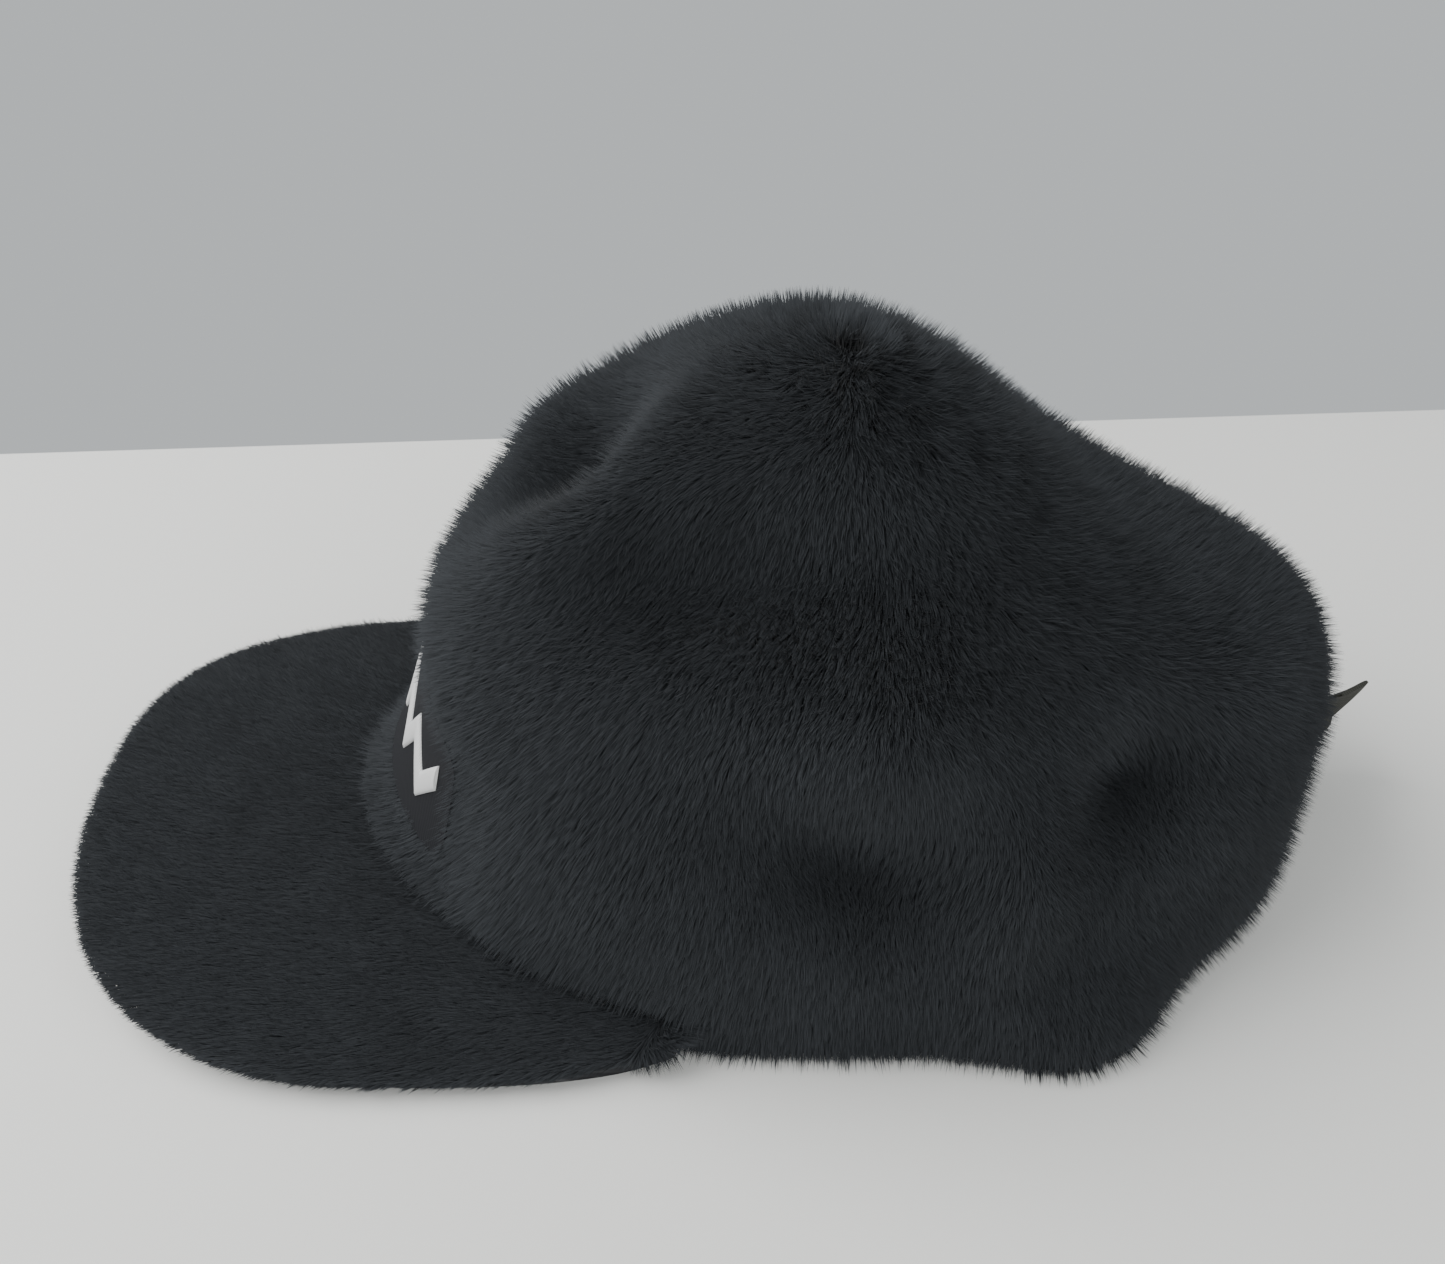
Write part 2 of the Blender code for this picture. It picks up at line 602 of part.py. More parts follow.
def build():
    clear_scene()
    cap = bpy.data.collections.new("camp_cap")
    cutters = bpy.data.collections.new("camp_cap_cutters")
    bpy.context.scene.collection.children.link(cap)
    bpy.context.scene.collection.children.link(cutters)

    front = (hem_arc(-66, 66), seam("front_top"), seam("front_right"), seam("front_left"))
    left = (hem_arc(66, 128), seam("top_left"), seam("front_left"), seam("rear_left"))
    right = (hem_arc(-66, -128), seam("top_right"), seam("front_right"), seam("rear_right"))
    top = (seam("front_top"), seam("rear_top"), seam("top_right"), seam("top_left"))
    back = (arched_hem, seam("rear_top"), seam("rear_right"), seam("rear_left"))

    panels = [
        ("front_panel", front, (0, 1, 1, 1), 18, 11),
        ("side_panel_left", left, (0, 1, 1, 1), 22, 11),
        ("side_panel_right", right, (0, 1, 1, 1), 22, 11),
        ("top_panel", top, (1, 1, 1, 1), 18, 22),
        ("back_panel", back, (0, 1, 1, 1), REAR_COLUMNS, 11),
    ]
    for name, edges, inset, columns, rows in panels:
        slab(name, columns, rows, panel_place(edges, inset, rows), cap, FUR, locks=True)
    slab("bill", BILL_COLUMNS, BILL_ROWS, bill_place, cap, FUR, locks=True)
    slab("patch", 14, 10, patch_on_bed, cap, PATCH_CLOTH)
    slab("patch_motif", 1, ZIGZAG_TEETH * 3, zigzag_on_patch, cap, PRINT_WHITE)
    slab("strap", 2, 48, web_place(strap_knots()), cap, WEBBING)
    slab("strap_stub", 2, 40, web_place(stub_knots()), cap, WEBBING)
    slider_frame("slider", cap, cutters, SLIDER_PLASTIC)


build()
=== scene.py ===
"""A five-panel camp cap in black faux fur, lying on a pale table.

The crown is one smooth surface, a stack of rings pushed in and out by its folds, and each panel is a
piece of backing cloth cut from it. Geometry Nodes sow the pile on the cloth, strand by strand. Named
sizes and tables are in millimetres and degrees, and finished pieces in metres. A place on the crown is
given on its chart: a disc with the apex in the middle, the hem at radius 1 and the front at angle 0.
"""

import math
from collections import namedtuple

import bmesh
import bpy
import numpy as np
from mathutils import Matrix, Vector


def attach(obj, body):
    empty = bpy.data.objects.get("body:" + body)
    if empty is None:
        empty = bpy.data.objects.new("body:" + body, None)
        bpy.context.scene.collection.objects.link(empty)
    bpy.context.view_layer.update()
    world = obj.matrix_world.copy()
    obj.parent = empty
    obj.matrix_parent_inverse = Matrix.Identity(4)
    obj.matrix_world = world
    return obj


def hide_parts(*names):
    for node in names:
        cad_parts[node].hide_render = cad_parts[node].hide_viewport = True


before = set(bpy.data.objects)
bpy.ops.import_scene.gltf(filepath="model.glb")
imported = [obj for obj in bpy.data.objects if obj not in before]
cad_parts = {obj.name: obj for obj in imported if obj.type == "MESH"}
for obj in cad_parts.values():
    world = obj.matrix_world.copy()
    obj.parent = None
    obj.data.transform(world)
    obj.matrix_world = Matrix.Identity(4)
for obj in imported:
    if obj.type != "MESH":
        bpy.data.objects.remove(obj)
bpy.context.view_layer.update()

MM = 0.001

# Middle of the whole length, bill to strap tail, on the crown's own length scale
Y_MIDDLE = 9.0

# How deep the cloth's two faces lie under the outside of the pile
WALL = 6.5
CLOTH_UNDER = 1.5
# What a seam leaves open between two panels, and how many times that on the inner face
SEAM_GAP = 0.5
INNER_SEAM = 2.0

# The crown's rear lies to the right: by this much, this far behind the middle, up to this many times as far
REAR_SWAY = -8.0
SWAY_RUN = 117.0
SWAY_LIMIT = 1.2
# From this radius to the hem the folds move the crown less and less up or down, and the hem lies level
LEVEL_FROM = 0.93
# Over these radii the cloth's thickness turns from square to the crown to level
THICKNESS_LEVEL = (0.94, 1.0)

# Bill: an arched, rounded blade
BILL_CENTRE = -62.8
BILL_REACH = 90.0
BILL_HALF_WIDTH = 78.6
BILL_BLUNT = 2.65
BILL_ARCH = 14.6
BILL_EDGE_HEIGHT = 4.0
BILL_PILE = 4.0
BILL_FLAT_FROM = 74.5
BILL_EDGE_ANGLE = 121.0
BILL_HEM_ANGLE = 71.6
BILL_GAP = 0.6
BILL_CLOTH = 1.3
BILL_RIM = 1.5
# How far the underside lies under the middle, at the root and at the rim
BILL_UNDER_ROOT, BILL_UNDER_RIM = 4.0, 1.2
# From these shares of the reach the outline is drawn in for the rim, and the underside rises to it
BILL_DRAWN_FROM, BILL_RISES_FROM = 0.86, 0.93

# Patch on the front panel, and the zigzag on it
PATCH_HALF_ANGLE = 32.0
PATCH_LOW, PATCH_HIGH = 0.905, 0.735
PATCH_LIE, PATCH_CLOTH = -0.4, 1.1
PATCH_SUNK = 1.8
PATCH_HALF_WIDTH, PATCH_HALF_HEIGHT, PATCH_RADIUS = 42.0, 19.0, 6.0
# Where its bed starts and is full depth, in half widths and half heights, and where it ends at the hem
BED_WIDE, BED_HIGH = (1.36, 1.14), (1.66, 1.24)
BED_ENDS = 0.99
ZIGZAG_TEETH = 10
ZIGZAG_SPAN = 0.86
ZIGZAG_SWING = 0.30
ZIGZAG_STROKE = 0.24
ZIGZAG_THICK = 0.7
ZIGZAG_EDGE = 0.2
ZIGZAG_CLEAR = 0.05

# Rear opening and its webbing
ARCH_RIGHT, ARCH_LEFT = -36.0, 22.0
ARCH_RISE = 0.25
ARCH_SQUARENESS = 0.6
WEB_WIDTH = 22.0
WEB_THICK = 1.2
WEB_EDGE_THINNER = 0.45
WEB_HEIGHT = 16.0
WEB_GAP = 0.2
# The part of its width, up and down from its middle, over which the webbing clears the wall
WEB_CLEARS = 0.6
# The radius at which the wall's facing is read for the webbing
WALL_READ_AT = 0.92
SLIDER_LENGTH, SLIDER_HEIGHT, SLIDER_THICK = 21.0, 29.0, 2.0
SLIDER_SLOT, SLIDER_BAR = 5.6, 3.2
SLOT_PLAY = 2.6
SLIDER_X, SLIDER_Y, SLIDER_LEAN = -14.6, 142.0, 8.0
SLIDER_ROUND = 3.0
SLIDER_EASED = 0.5
# The cells of the slider's frame that are open
SLOT_COLUMNS, SLOT_ROW = (1, 3), 1
BAR_CLEAR = 2.05

Ring = namedtuple(
    "Ring", "name rho front mid rear half z_front z_left z_right z_rear blunt_front blunt_rear"
)
RINGS = [
    Ring("apex", 0.00, 18, 18, 18, 0, 137.5, 137.5, 137.5, 137.5, 2.0, 2.0),
    Ring("cap", 0.16, -12, 20, 50, 22, 128, 125, 132, 126, 2.2, 2.0),
    Ring("top", 0.32, -38, 22, 83, 41, 113, 104, 117, 94.5, 2.4, 2.0),
    Ring("shoulder", 0.46, -51, 24, 110.5, 55, 101, 83, 98, 79.5, 2.5, 2.0),
    Ring("upper", 0.60, -60, 25, 133, 65, 86, 62, 73, 70, 2.5, 2.0),
    Ring("waist", 0.74, -68, 25, 144, 71, 66, 41, 47, 52, 2.4, 2.0),
    Ring("lower", 0.87, -77, 25, 145, 72, 41, 20, 22, 27, 2.2, 2.0),
    Ring("flare", 0.95, -86, 25, 144, 72, 25, 8.5, 9, 11, 2.0, 2.0),
    Ring("hem", 1.00, -92, 25, 143, 72, 14.6, 0, 0, 0, 2.0, 2.0),
]

Fold = namedtuple("Fold", "name x y z run_x run_y run_z length breadth push")
FOLDS = [
    Fold("hollow behind the front", -8, -34, 110, 0.5, 1, 0.4, 23, 20, -26),
    Fold("near front corner", 26, -36, 108, 0.3, 1, 0.4, 16, 11, 5),
    Fold("near top ridge", 15, -17, 121, -0.6, 0.7, 0.3, 18, 9, 4),
    Fold("far front corner", -36, -44, 104, 0, 1, 0.3, 16, 12, 6),
    Fold("far top ridge", -40, -14, 113, 0, 1, 0.2, 28, 11, 3),
    Fold("under the near ridge", 37, 4, 105, -0.1, 1, 0, 40, 14, -10),
    Fold("near side dent", 70, 26, 54, 0.1, 1, -0.4, 22, 14, -12),
    Fold("near rear dent", 54, 86, 66, 0, 0.8, 0.4, 20, 13, -12),
    Fold("near side lump", 56, 30, 80, 0, 1, 0, 22, 12, 7),
    Fold("near side upright ridge", 68, 60, 48, 0, 0.2, 1, 26, 9, 5),
    Fold("near rear shoulder", 30, 112, 76, -0.6, 0.6, 0, 22, 12, 3),
    Fold("near rear hem flare", 66, 76, 4, -0.4, 0.9, 0, 24, 18, 13.5),
    Fold("near rear quarter", 38, 118, 16, -0.8, 0.6, 0, 20, 22, 4),
    Fold("far side dent", -68, 40, 60, 0, 1, 0.2, 30, 16, -6),
]

Seam = namedtuple("Seam", "name angle_a rho_a angle_m rho_m angle_b rho_b")
SEAMS = [
    Seam("front_left", 66, 1.00, 55, 0.68, 40, 0.37),
    Seam("front_right", -66, 1.00, -55, 0.68, -40, 0.37),
    Seam("front_top", -40, 0.37, 0, 0.44, 40, 0.37),
    Seam("top_left", 40, 0.37, 86, 0.20, 150, 0.42),
    Seam("top_right", -40, 0.37, -86, 0.20, -150, 0.42),
    Seam("rear_top", -150, 0.42, 180, 0.43, 150, 0.42),
    Seam("rear_left", 128, 1.00, 133, 0.70, 150, 0.42),
    Seam("rear_right", -128, 1.00, -133, 0.70, -150, 0.42),
]


# The crown's surface

def eased(value, start, end):
    """0 at start and before it, 1 at end and past it, and smooth between."""
    part = np.clip((value - start) / (end - start), 0.0, 1.0)
    return part * part * (3.0 - 2.0 * part)


def unit(vectors):
    return vectors / np.maximum(np.linalg.norm(vectors, axis=-1, keepdims=True), 1e-9)


def through_knots(places, values, at, flat_start=None):
    """A cubic through the rows of values at the rising places, read at the places in at."""
    places = np.asarray(places, float)
    values = np.asarray(values, float)
    steps = np.diff(places)[:, None]
    rises = np.diff(values, axis=0) / steps
    slopes = np.empty_like(values)
    slopes[1:-1] = (rises[:-1] * steps[1:] + rises[1:] * steps[:-1]) / (steps[1:] + steps[:-1])
    slopes[0] = rises[0]
    slopes[-1] = rises[-1]
    if flat_start is not None:
        slopes[0] = np.where(flat_start, 0.0, slopes[0])
    at = np.asarray(at, float)
    row = np.clip(np.searchsorted(places, at, side="right") - 1, 0, len(places) - 2)
    step = (places[row + 1] - places[row])[:, None]
    part = np.minimum((at - places[row])[:, None] / step, 1.0)
    beyond = np.maximum(at - places[-1], 0.0)[:, None]
    square = part * part
    cube = square * part
    curve = (
        (2 * cube - 3 * square + 1) * values[row]
        + (cube - 2 * square + part) * step * slopes[row]
        + (3 * square - 2 * cube) * values[row + 1]
        + (cube - square) * step * slopes[row + 1]
    )
    return curve + beyond * slopes[-1]


RING_RHO = [ring.rho for ring in RINGS]
RING_SIZES = [ring[2:] for ring in RINGS]
RING_LEVEL = np.array([name.startswith(("z_", "blunt")) for name in Ring._fields[2:]])


def radius(chart):
    return np.hypot(chart[:, 0], chart[:, 1])


def angle_of(chart):
    return np.degrees(np.arctan2(chart[:, 0], -chart[:, 1]))


def ring_stack(chart):
    """The crown without its folds, at places on the chart."""
    chart = np.asarray(chart, float)
    rho = radius(chart)
    safe = np.maximum(rho, 1e-9)
    side = chart[:, 0] / safe
    ahead = np.where(rho > 1e-9, -chart[:, 1] / safe, 1.0)
    sizes = through_knots(RING_RHO, RING_SIZES, rho, RING_LEVEL).T
    front, mid, rear, half, z_front, z_left, z_right, z_rear, blunt_front, blunt_rear = sizes
    facing = ahead > 0
    blunt = np.where(facing, blunt_front, blunt_rear)
    fill = (np.abs(side) ** blunt + np.abs(ahead) ** blunt) ** (-1.0 / blunt)
    reach = np.where(facing, mid - front, rear - mid)
    z_end = np.where(facing, z_front, z_rear)
    z_side = np.where(side > 0, z_left, z_right)
    x = half * side * fill
    y = mid - reach * ahead * fill
    z = z_side + (z_end - z_side) * ahead**2
    x = x + REAR_SWAY * np.clip((y - mid) / SWAY_RUN, 0.0, SWAY_LIMIT) ** 2
    return np.stack([x, y, z], 1)


def normals_of(surface, chart, step=0.006):
    chart = np.asarray(chart, float)
    across = surface(chart + [step, 0.0]) - surface(chart - [step, 0.0])
    along = surface(chart + [0.0, step]) - surface(chart - [0.0, step])
    return unit(np.cross(across, along))


def patch_place(chart):
    """Where a place on the chart lies on the patch: -1 to 1 across it and up it."""
    chart = np.asarray(chart, float)
    up = (radius(chart) - PATCH_LOW) / (PATCH_HIGH - PATCH_LOW) * 2.0 - 1.0
    return angle_of(chart) / PATCH_HALF_ANGLE, up


def pile(chart):
    """The outside of the crown's pile, with its folds."""
    base = ring_stack(chart)
    out = normals_of(ring_stack, chart)
    push = np.zeros(len(base))
    for fold in FOLDS:
        away = base - [fold.x, fold.y, fold.z]
        run = unit(np.array([fold.run_x, fold.run_y, fold.run_z], float))
        along = away @ run
        aside = np.maximum((away**2).sum(1) - along**2, 0.0)
        push += fold.push * np.exp(-((along / fold.length) ** 2) - aside / fold.breadth**2)
    across, up = patch_place(chart)
    bed = eased(np.abs(across), *BED_WIDE) * eased(np.abs(up), *BED_HIGH)
    rho = radius(chart)
    push = push - PATCH_SUNK * bed * (1.0 - eased(rho, LEVEL_FROM, BED_ENDS))
    moved = base + out * push[:, None]
    moved[:, 2] += (base[:, 2] - moved[:, 2]) * eased(rho, LEVEL_FROM, 1.0)
    return moved


def chart_point(angle, rho):
    angle = np.radians(angle)
    return np.stack([np.sin(angle) * rho, -np.cos(angle) * rho], -1)


def seam(name):
    """A seam as a curve in the chart, through its start, middle and end."""
    row = next(item for item in SEAMS if item.name == name)
    start = chart_point(row.angle_a, row.rho_a)
    middle = chart_point(row.angle_m, row.rho_m)
    end = chart_point(row.angle_b, row.rho_b)

    def curve(part):
        part = np.asarray(part, float)[:, None]
        return (
            start * (1 - part) * (1 - 2 * part)
            + middle * 4 * part * (1 - part)
            + end * part * (2 * part - 1)
        )

    return curve


def hem_arc(start, end):
    def curve(part):
        return chart_point(start + (end - start) * np.asarray(part, float), 1.0)

    return curve


REAR_COLUMNS_RIGHT, REAR_COLUMNS_ARCH, REAR_COLUMNS_LEFT = 3, 10, 5
REAR_COLUMNS = REAR_COLUMNS_RIGHT + REAR_COLUMNS_ARCH + REAR_COLUMNS_LEFT
REAR_EDGE = 52.0


def arch_turn(part):
    column = np.asarray(part, float) * REAR_COLUMNS
    return column, np.clip((column - REAR_COLUMNS_RIGHT) / REAR_COLUMNS_ARCH, 0.0, 1.0) * math.pi


def arched_hem(part):
    """The back panel's lower edge: the right leg, the arch over the strap, and the left leg."""
    column, turn = arch_turn(part)
    angle = (ARCH_RIGHT + ARCH_LEFT) / 2.0 - (ARCH_LEFT - ARCH_RIGHT) / 2.0 * np.cos(turn)
    before = np.clip(column / REAR_COLUMNS_RIGHT, 0.0, 1.0)
    after = np.clip((column - REAR_COLUMNS_RIGHT - REAR_COLUMNS_ARCH) / REAR_COLUMNS_LEFT, 0.0, 1.0)
    angle = angle - (REAR_EDGE + ARCH_RIGHT) * (1.0 - before) + (REAR_EDGE - ARCH_LEFT) * after
    return chart_point(180.0 - angle, 1.0 - ARCH_RISE * np.sin(turn) ** ARCH_SQUARENESS)


def panel_chart(bottom, top, left, right, part_s, part_t):
    """Coons patch between four curves of the chart."""
    s = part_s[:, None]
    t = part_t[:, None]
    corners = (
        bottom(np.zeros(1)) * (1 - s) * (1 - t)
        + bottom(np.ones(1)) * s * (1 - t)
        + top(np.zeros(1)) * (1 - s) * t
        + top(np.ones(1)) * s * t
    )
    return bottom(part_s) * (1 - t) + top(part_s) * t + left(part_t) * (1 - s) + right(part_t) * s - corners


def seam_paces(edges, count=41, step=0.01):
    """How far the surface runs from each of the four seams per unit of the slab, square to the seam."""
    line = np.linspace(0.0, 1.0, count)
    start, end = np.zeros(count), np.ones(count)

    def pace(s, t, inward_s, inward_t):
        here = pile(panel_chart(*edges, s, t))
        inner = pile(panel_chart(*edges, s + inward_s * step, t + inward_t * step))
        after = pile(panel_chart(*edges, s + abs(inward_t) * step, t + abs(inward_s) * step))
        run = unit(after - here)
        return np.linalg.norm(np.cross(inner - here, run), axis=1) / step

    level = [pace(line, start, 0, 1), pace(line, end, 0, -1)]
    upright = [pace(start, line, 1, 0), pace(end, line, -1, 0)]
    return line, *level, *upright


def panel_size(edges, count=25):
    """Width and height of a panel, measured over the pile through its middle."""
    line = np.linspace(0.0, 1.0, count)
    half = np.full(count, 0.5)
    spots = pile(panel_chart(*edges, line, half)), pile(panel_chart(*edges, half, line))
    return [np.linalg.norm(np.diff(row, axis=0), axis=1).sum() for row in spots]


def panel_cloth(edges, inset):
    """Bends a slab into a panel's backing. inset has a 1 for each of bottom, top, left, right at a seam."""
    line, pace_bottom, pace_top, pace_left, pace_right = seam_paces(edges)
    bottom, top, left, right = inset

    def place(s, t, level):
        half = 0.5 * SEAM_GAP * np.where(level < 0.5, INNER_SEAM, 1.0)
        part_s = s + half * left * (1 - s) / np.interp(t, line, pace_left)
        part_s = part_s - half * right * s / np.interp(t, line, pace_right)
        part_t = t + half * bottom * (1 - t) / np.interp(s, line, pace_bottom)
        part_t = part_t - half * top * t / np.interp(s, line, pace_top)
        chart = panel_chart(*edges, part_s, part_t)
        out = normals_of(pile, chart)
        low = eased(radius(chart), *THICKNESS_LEVEL)[:, None]
        outward = unit(out * [1.0, 1.0, 0.0] * low + out * (1.0 - low))
        return pile(chart) - outward * np.where(level < 0.5, WALL, CLOTH_UNDER)[:, None]

    return place


# The bill

# The lowest part of the crown, from one radius to another in this many steps
LOW_CROWN = (0.86, 1.0, 29)


def bill_mid(x):
    return BILL_EDGE_HEIGHT + BILL_ARCH * np.clip(1.0 - (x / BILL_HALF_WIDTH) ** 2, 0.0, 1.0)


def bill_top(x):
    return bill_mid(x) + BILL_PILE


def crown_at_height(angle, height):
    """The crown's outside at an angle, at a height near its hem."""
    steps = np.linspace(*LOW_CROWN)
    out = np.empty((len(angle), 2))
    for i, (one, z) in enumerate(zip(angle, height)):
        order = pile(chart_point(np.full(len(steps), one), steps))[::-1]
        out[i] = [np.interp(z, order[:, 2], order[:, k]) for k in (0, 1)]
    return out


def bill_edges(columns):
    """For each column of the bill, where it leaves the crown above and below, and where it ends."""
    turn = np.linspace(-1.0, 1.0, columns + 1)
    hem_angle = turn * BILL_HEM_ANGLE
    edge_angle = np.radians(turn * BILL_EDGE_ANGLE)
    side, ahead = np.sin(edge_angle), np.cos(edge_angle)
    fill = (np.abs(side) ** BILL_BLUNT + np.abs(ahead) ** BILL_BLUNT) ** (-1.0 / BILL_BLUNT)
    edge = np.stack([BILL_HALF_WIDTH * side * fill, BILL_CENTRE - BILL_REACH * ahead * fill], 1)
    hem = chart_point(hem_angle, 1.0)
    hem_x = hem[:, 0] * RINGS[-1].half
    away = unit(hem) * BILL_GAP
    above = crown_at_height(hem_angle, bill_top(hem_x)) + away
    below = crown_at_height(hem_angle, bill_mid(hem_x) - BILL_UNDER_ROOT) + away
    return above, below, edge


def drawn_in(part):
    """How far the bill's cloth is drawn in, which leaves room for its rounded rim."""
    return BILL_RIM * eased(part, BILL_DRAWN_FROM, 1.0)[:, None]


def bill_cloth(columns):
    """Bends a slab into the bill's cloth."""
    above, below, edge = bill_edges(columns)

    def place(s, t, level):
        column = (s * columns).round().astype(int)
        root = np.where(level[:, None] < 0.5, below[column], above[column])
        plan = root * (1 - t[:, None]) + edge[column] * t[:, None]
        plan = plan - unit(edge[column] - root) * drawn_in(t)
        x = plan[:, 0]
        under = BILL_ARCH * np.clip(1.0 - (x / BILL_FLAT_FROM) ** 2, 0.0, 1.0)
        under = under + (bill_mid(x) - BILL_UNDER_RIM - under) * eased(t, BILL_RISES_FROM, 1.0)
        return np.column_stack([plan, np.where(level < 0.5, under, bill_mid(x) + BILL_CLOTH)])

    return place


# Patch, zigzag and webbing

def bed_frame(across, up):
    """The pressed-in pile under the patch, at -1 to 1 across and up it."""
    angle = across * PATCH_HALF_ANGLE
    rho = PATCH_LOW + (PATCH_HIGH - PATCH_LOW) * (up + 1.0) / 2.0
    chart = chart_point(angle, rho)
    return pile(chart), normals_of(pile, chart)


def patch_on_bed(s, t, level):
    """A rectangle with round corners: each row is as wide as the corner arcs leave it."""
    up = np.sin((t - 0.5) * math.pi)
    over = np.clip((np.abs(up) - 1.0) * PATCH_HALF_HEIGHT / PATCH_RADIUS + 1.0, 0.0, 1.0)
    cut = PATCH_RADIUS / PATCH_HALF_WIDTH
    half = 1.0 - cut * (1.0 - np.sqrt(np.maximum(1.0 - over**2, 0.0)))
    spot, out = bed_frame((2.0 * s - 1.0) * half, up)
    return spot + out * (PATCH_LIE + PATCH_CLOTH * level)[:, None]


def zigzag_on_patch(s, t, level):
    """A band that swings up and down along the patch, rounded over like raised satin stitch."""
    across = (2.0 * t - 1.0) * ZIGZAG_SPAN
    swing = np.abs((t * ZIGZAG_TEETH) % 2.0 - 1.0) * 2.0 - 1.0
    up = swing * ZIGZAG_SWING + (2.0 * s - 1.0) * ZIGZAG_STROKE
    spot, out = bed_frame(across, up)
    crown = np.sqrt(np.maximum(1.0 - (2.0 * s - 1.0) ** 2, 0.0))
    lift = PATCH_LIE + PATCH_CLOTH + ZIGZAG_CLEAR + level * (ZIGZAG_EDGE + ZIGZAG_THICK * crown)
    return spot + out * lift[:, None]


def at_slider(along, out):
    """A place beside the slider: along it toward the wearer's left, and out from its middle plane."""
    lean = math.radians(SLIDER_LEAN)
    x = SLIDER_X + along * math.cos(lean) - out * math.sin(lean)
    return x, SLIDER_Y + along * math.sin(lean) + out * math.cos(lean)


def inside_wall(from_rear):
    """A place for webbing inside the wall, at an angle from the rear, + to the left."""
    heights = WEB_HEIGHT + WEB_WIDTH * np.linspace(-WEB_CLEARS, WEB_CLEARS, 7)
    angle = 180.0 - from_rear
    out = unit(normals_of(pile, [chart_point(angle, WALL_READ_AT)])[0] * [1.0, 1.0, 0.0])[:2]
    spots = crown_at_height(np.full(len(heights), angle), heights)
    middle = spots[len(heights) // 2]
    inmost = ((spots - middle) @ out).min()
    return middle + out * (inmost - WALL - WEB_GAP - WEB_THICK)


# Webbing stands upright at one height, except where a knot says otherwise
Knot = namedtuple("Knot", "name x y z twist", defaults=(WEB_HEIGHT, 0.0))


def strap_knots():
    """The long webbing, from inside the left of the arch through the slider to its free end."""
    return [
        Knot("sewn end inside the wall", *inside_wall(42.0)),
        Knot("along the wall", *inside_wall(33.0)),
        Knot("nears the opening", *inside_wall(25.0)),
        Knot("clears the wall", 14.6, 127.8),
        Knot("swells out", 9.4, 134.6),
        Knot("rounds over", 4.0, 141.2),
        Knot("nears the slider", *at_slider(14.0, -BAR_CLEAR)),
        Knot("behind the near bar", *at_slider(10.0, -BAR_CLEAR)),
        Knot("at the slot", *at_slider(7.0, -BAR_CLEAR)),
        Knot("through the slot", *at_slider(4.4, 0.0)),
        Knot("past the middle bar", *at_slider(2.0, 2.9)),
        Knot("tail leaves", *at_slider(0.8, 8.0), 16.2, -8),
        Knot("tail half way", -13.2, 156.0, 21.4, -34),
        Knot("tail end", -11.0, 163.0, 30.5, -54),
    ]


def stub_knots():
    """The short webbing, from inside the right of the arch, round the slider's far bar and back."""
    return [
        Knot("sewn end inside the wall", *inside_wall(-50.0)),
        Knot("along the wall", *inside_wall(-43.0)),
        Knot("nears the opening", *inside_wall(-36.0)),
        Knot("clears the wall", -35.0, 129.5),
        Knot("nears the slider", *at_slider(-14.0, 0.6)),
        Knot("over the far bar", *at_slider(-8.9, BAR_CLEAR)),
        Knot("into the slot", *at_slider(-6.5, 1.8)),
        Knot("round the bar", *at_slider(-5.4, 0.0)),
        Knot("out of the slot", *at_slider(-6.5, -1.8)),
        Knot("under the far bar", *at_slider(-8.9, -BAR_CLEAR)),
        Knot("sewn end", *at_slider(-13.5, -2.6)),
    ]


def web_place(knots, step=0.004):
    """Bends a slab into webbing along the knots, its width upright where the twist is 0."""
    points = np.array([[knot.x, knot.y, knot.z] for knot in knots], float)
    run = np.concatenate([[0.0], np.cumsum(np.linalg.norm(np.diff(points, axis=0), axis=1))])
    length = run[-1]
    run = run / length
    twists = np.array([[knot.twist] for knot in knots], float)

    def place(s, t, level):
        centre = through_knots(run, points, t)
        after = through_knots(run, points, np.minimum(t + step, 1.0))
        ahead = unit(after - through_knots(run, points, np.maximum(t - step, 0.0)))
        twist = np.radians(through_knots(run, twists, t))
        out = unit(np.cross([0.0, 0.0, 1.0], ahead))
        wide = unit(np.cross(ahead, out))
        face = out * np.cos(twist) - wide * np.sin(twist)
        wide = wide * np.cos(twist) + out * np.sin(twist)
        thick = WEB_THICK * (1.0 - WEB_EDGE_THINNER * np.abs(2.0 * s - 1.0) ** 8)
        offset = wide * ((s - 0.5) * WEB_WIDTH)[:, None] + face * ((level - 0.5) * thick)[:, None]
        return centre + offset

    return place, length


# Node trees

class Wire:
    """A socket of a node tree. Arithmetic on it adds the nodes that work it out."""

    def __init__(self, bench, socket):
        self.bench = bench
        self.socket = socket
        self.wide = socket.type in ("VECTOR", "RGBA")

    def with_other(self, operation, first, second):
        wide = [isinstance(item, Wire) and item.wide for item in (first, second)]
        if not any(wide):
            return self.bench.math(operation, first, second)
        if operation == "MULTIPLY" and not all(wide):
            vector, amount = (first, second) if wide[0] else (second, first)
            values = {0: vector, "Scale": amount}
            return self.bench.node("ShaderNodeVectorMath", {"operation": "SCALE"}, values)
        items = [item if isinstance(item, Wire) else (item,) * 3 for item in (first, second)]
        return self.bench.vector(operation, *items)

    def __add__(self, other):
        return self.with_other("ADD", self, other)

    def __radd__(self, other):
        return self.with_other("ADD", other, self)

    def __sub__(self, other):
        return self.with_other("SUBTRACT", self, other)

    def __rsub__(self, other):
        return self.with_other("SUBTRACT", other, self)

    def __mul__(self, other):
        return self.with_other("MULTIPLY", self, other)

    def __rmul__(self, other):
        return self.with_other("MULTIPLY", other, self)

    def __truediv__(self, other):
        return self.with_other("DIVIDE", self, other)

    def __rtruediv__(self, other):
        return self.with_other("DIVIDE", other, self)


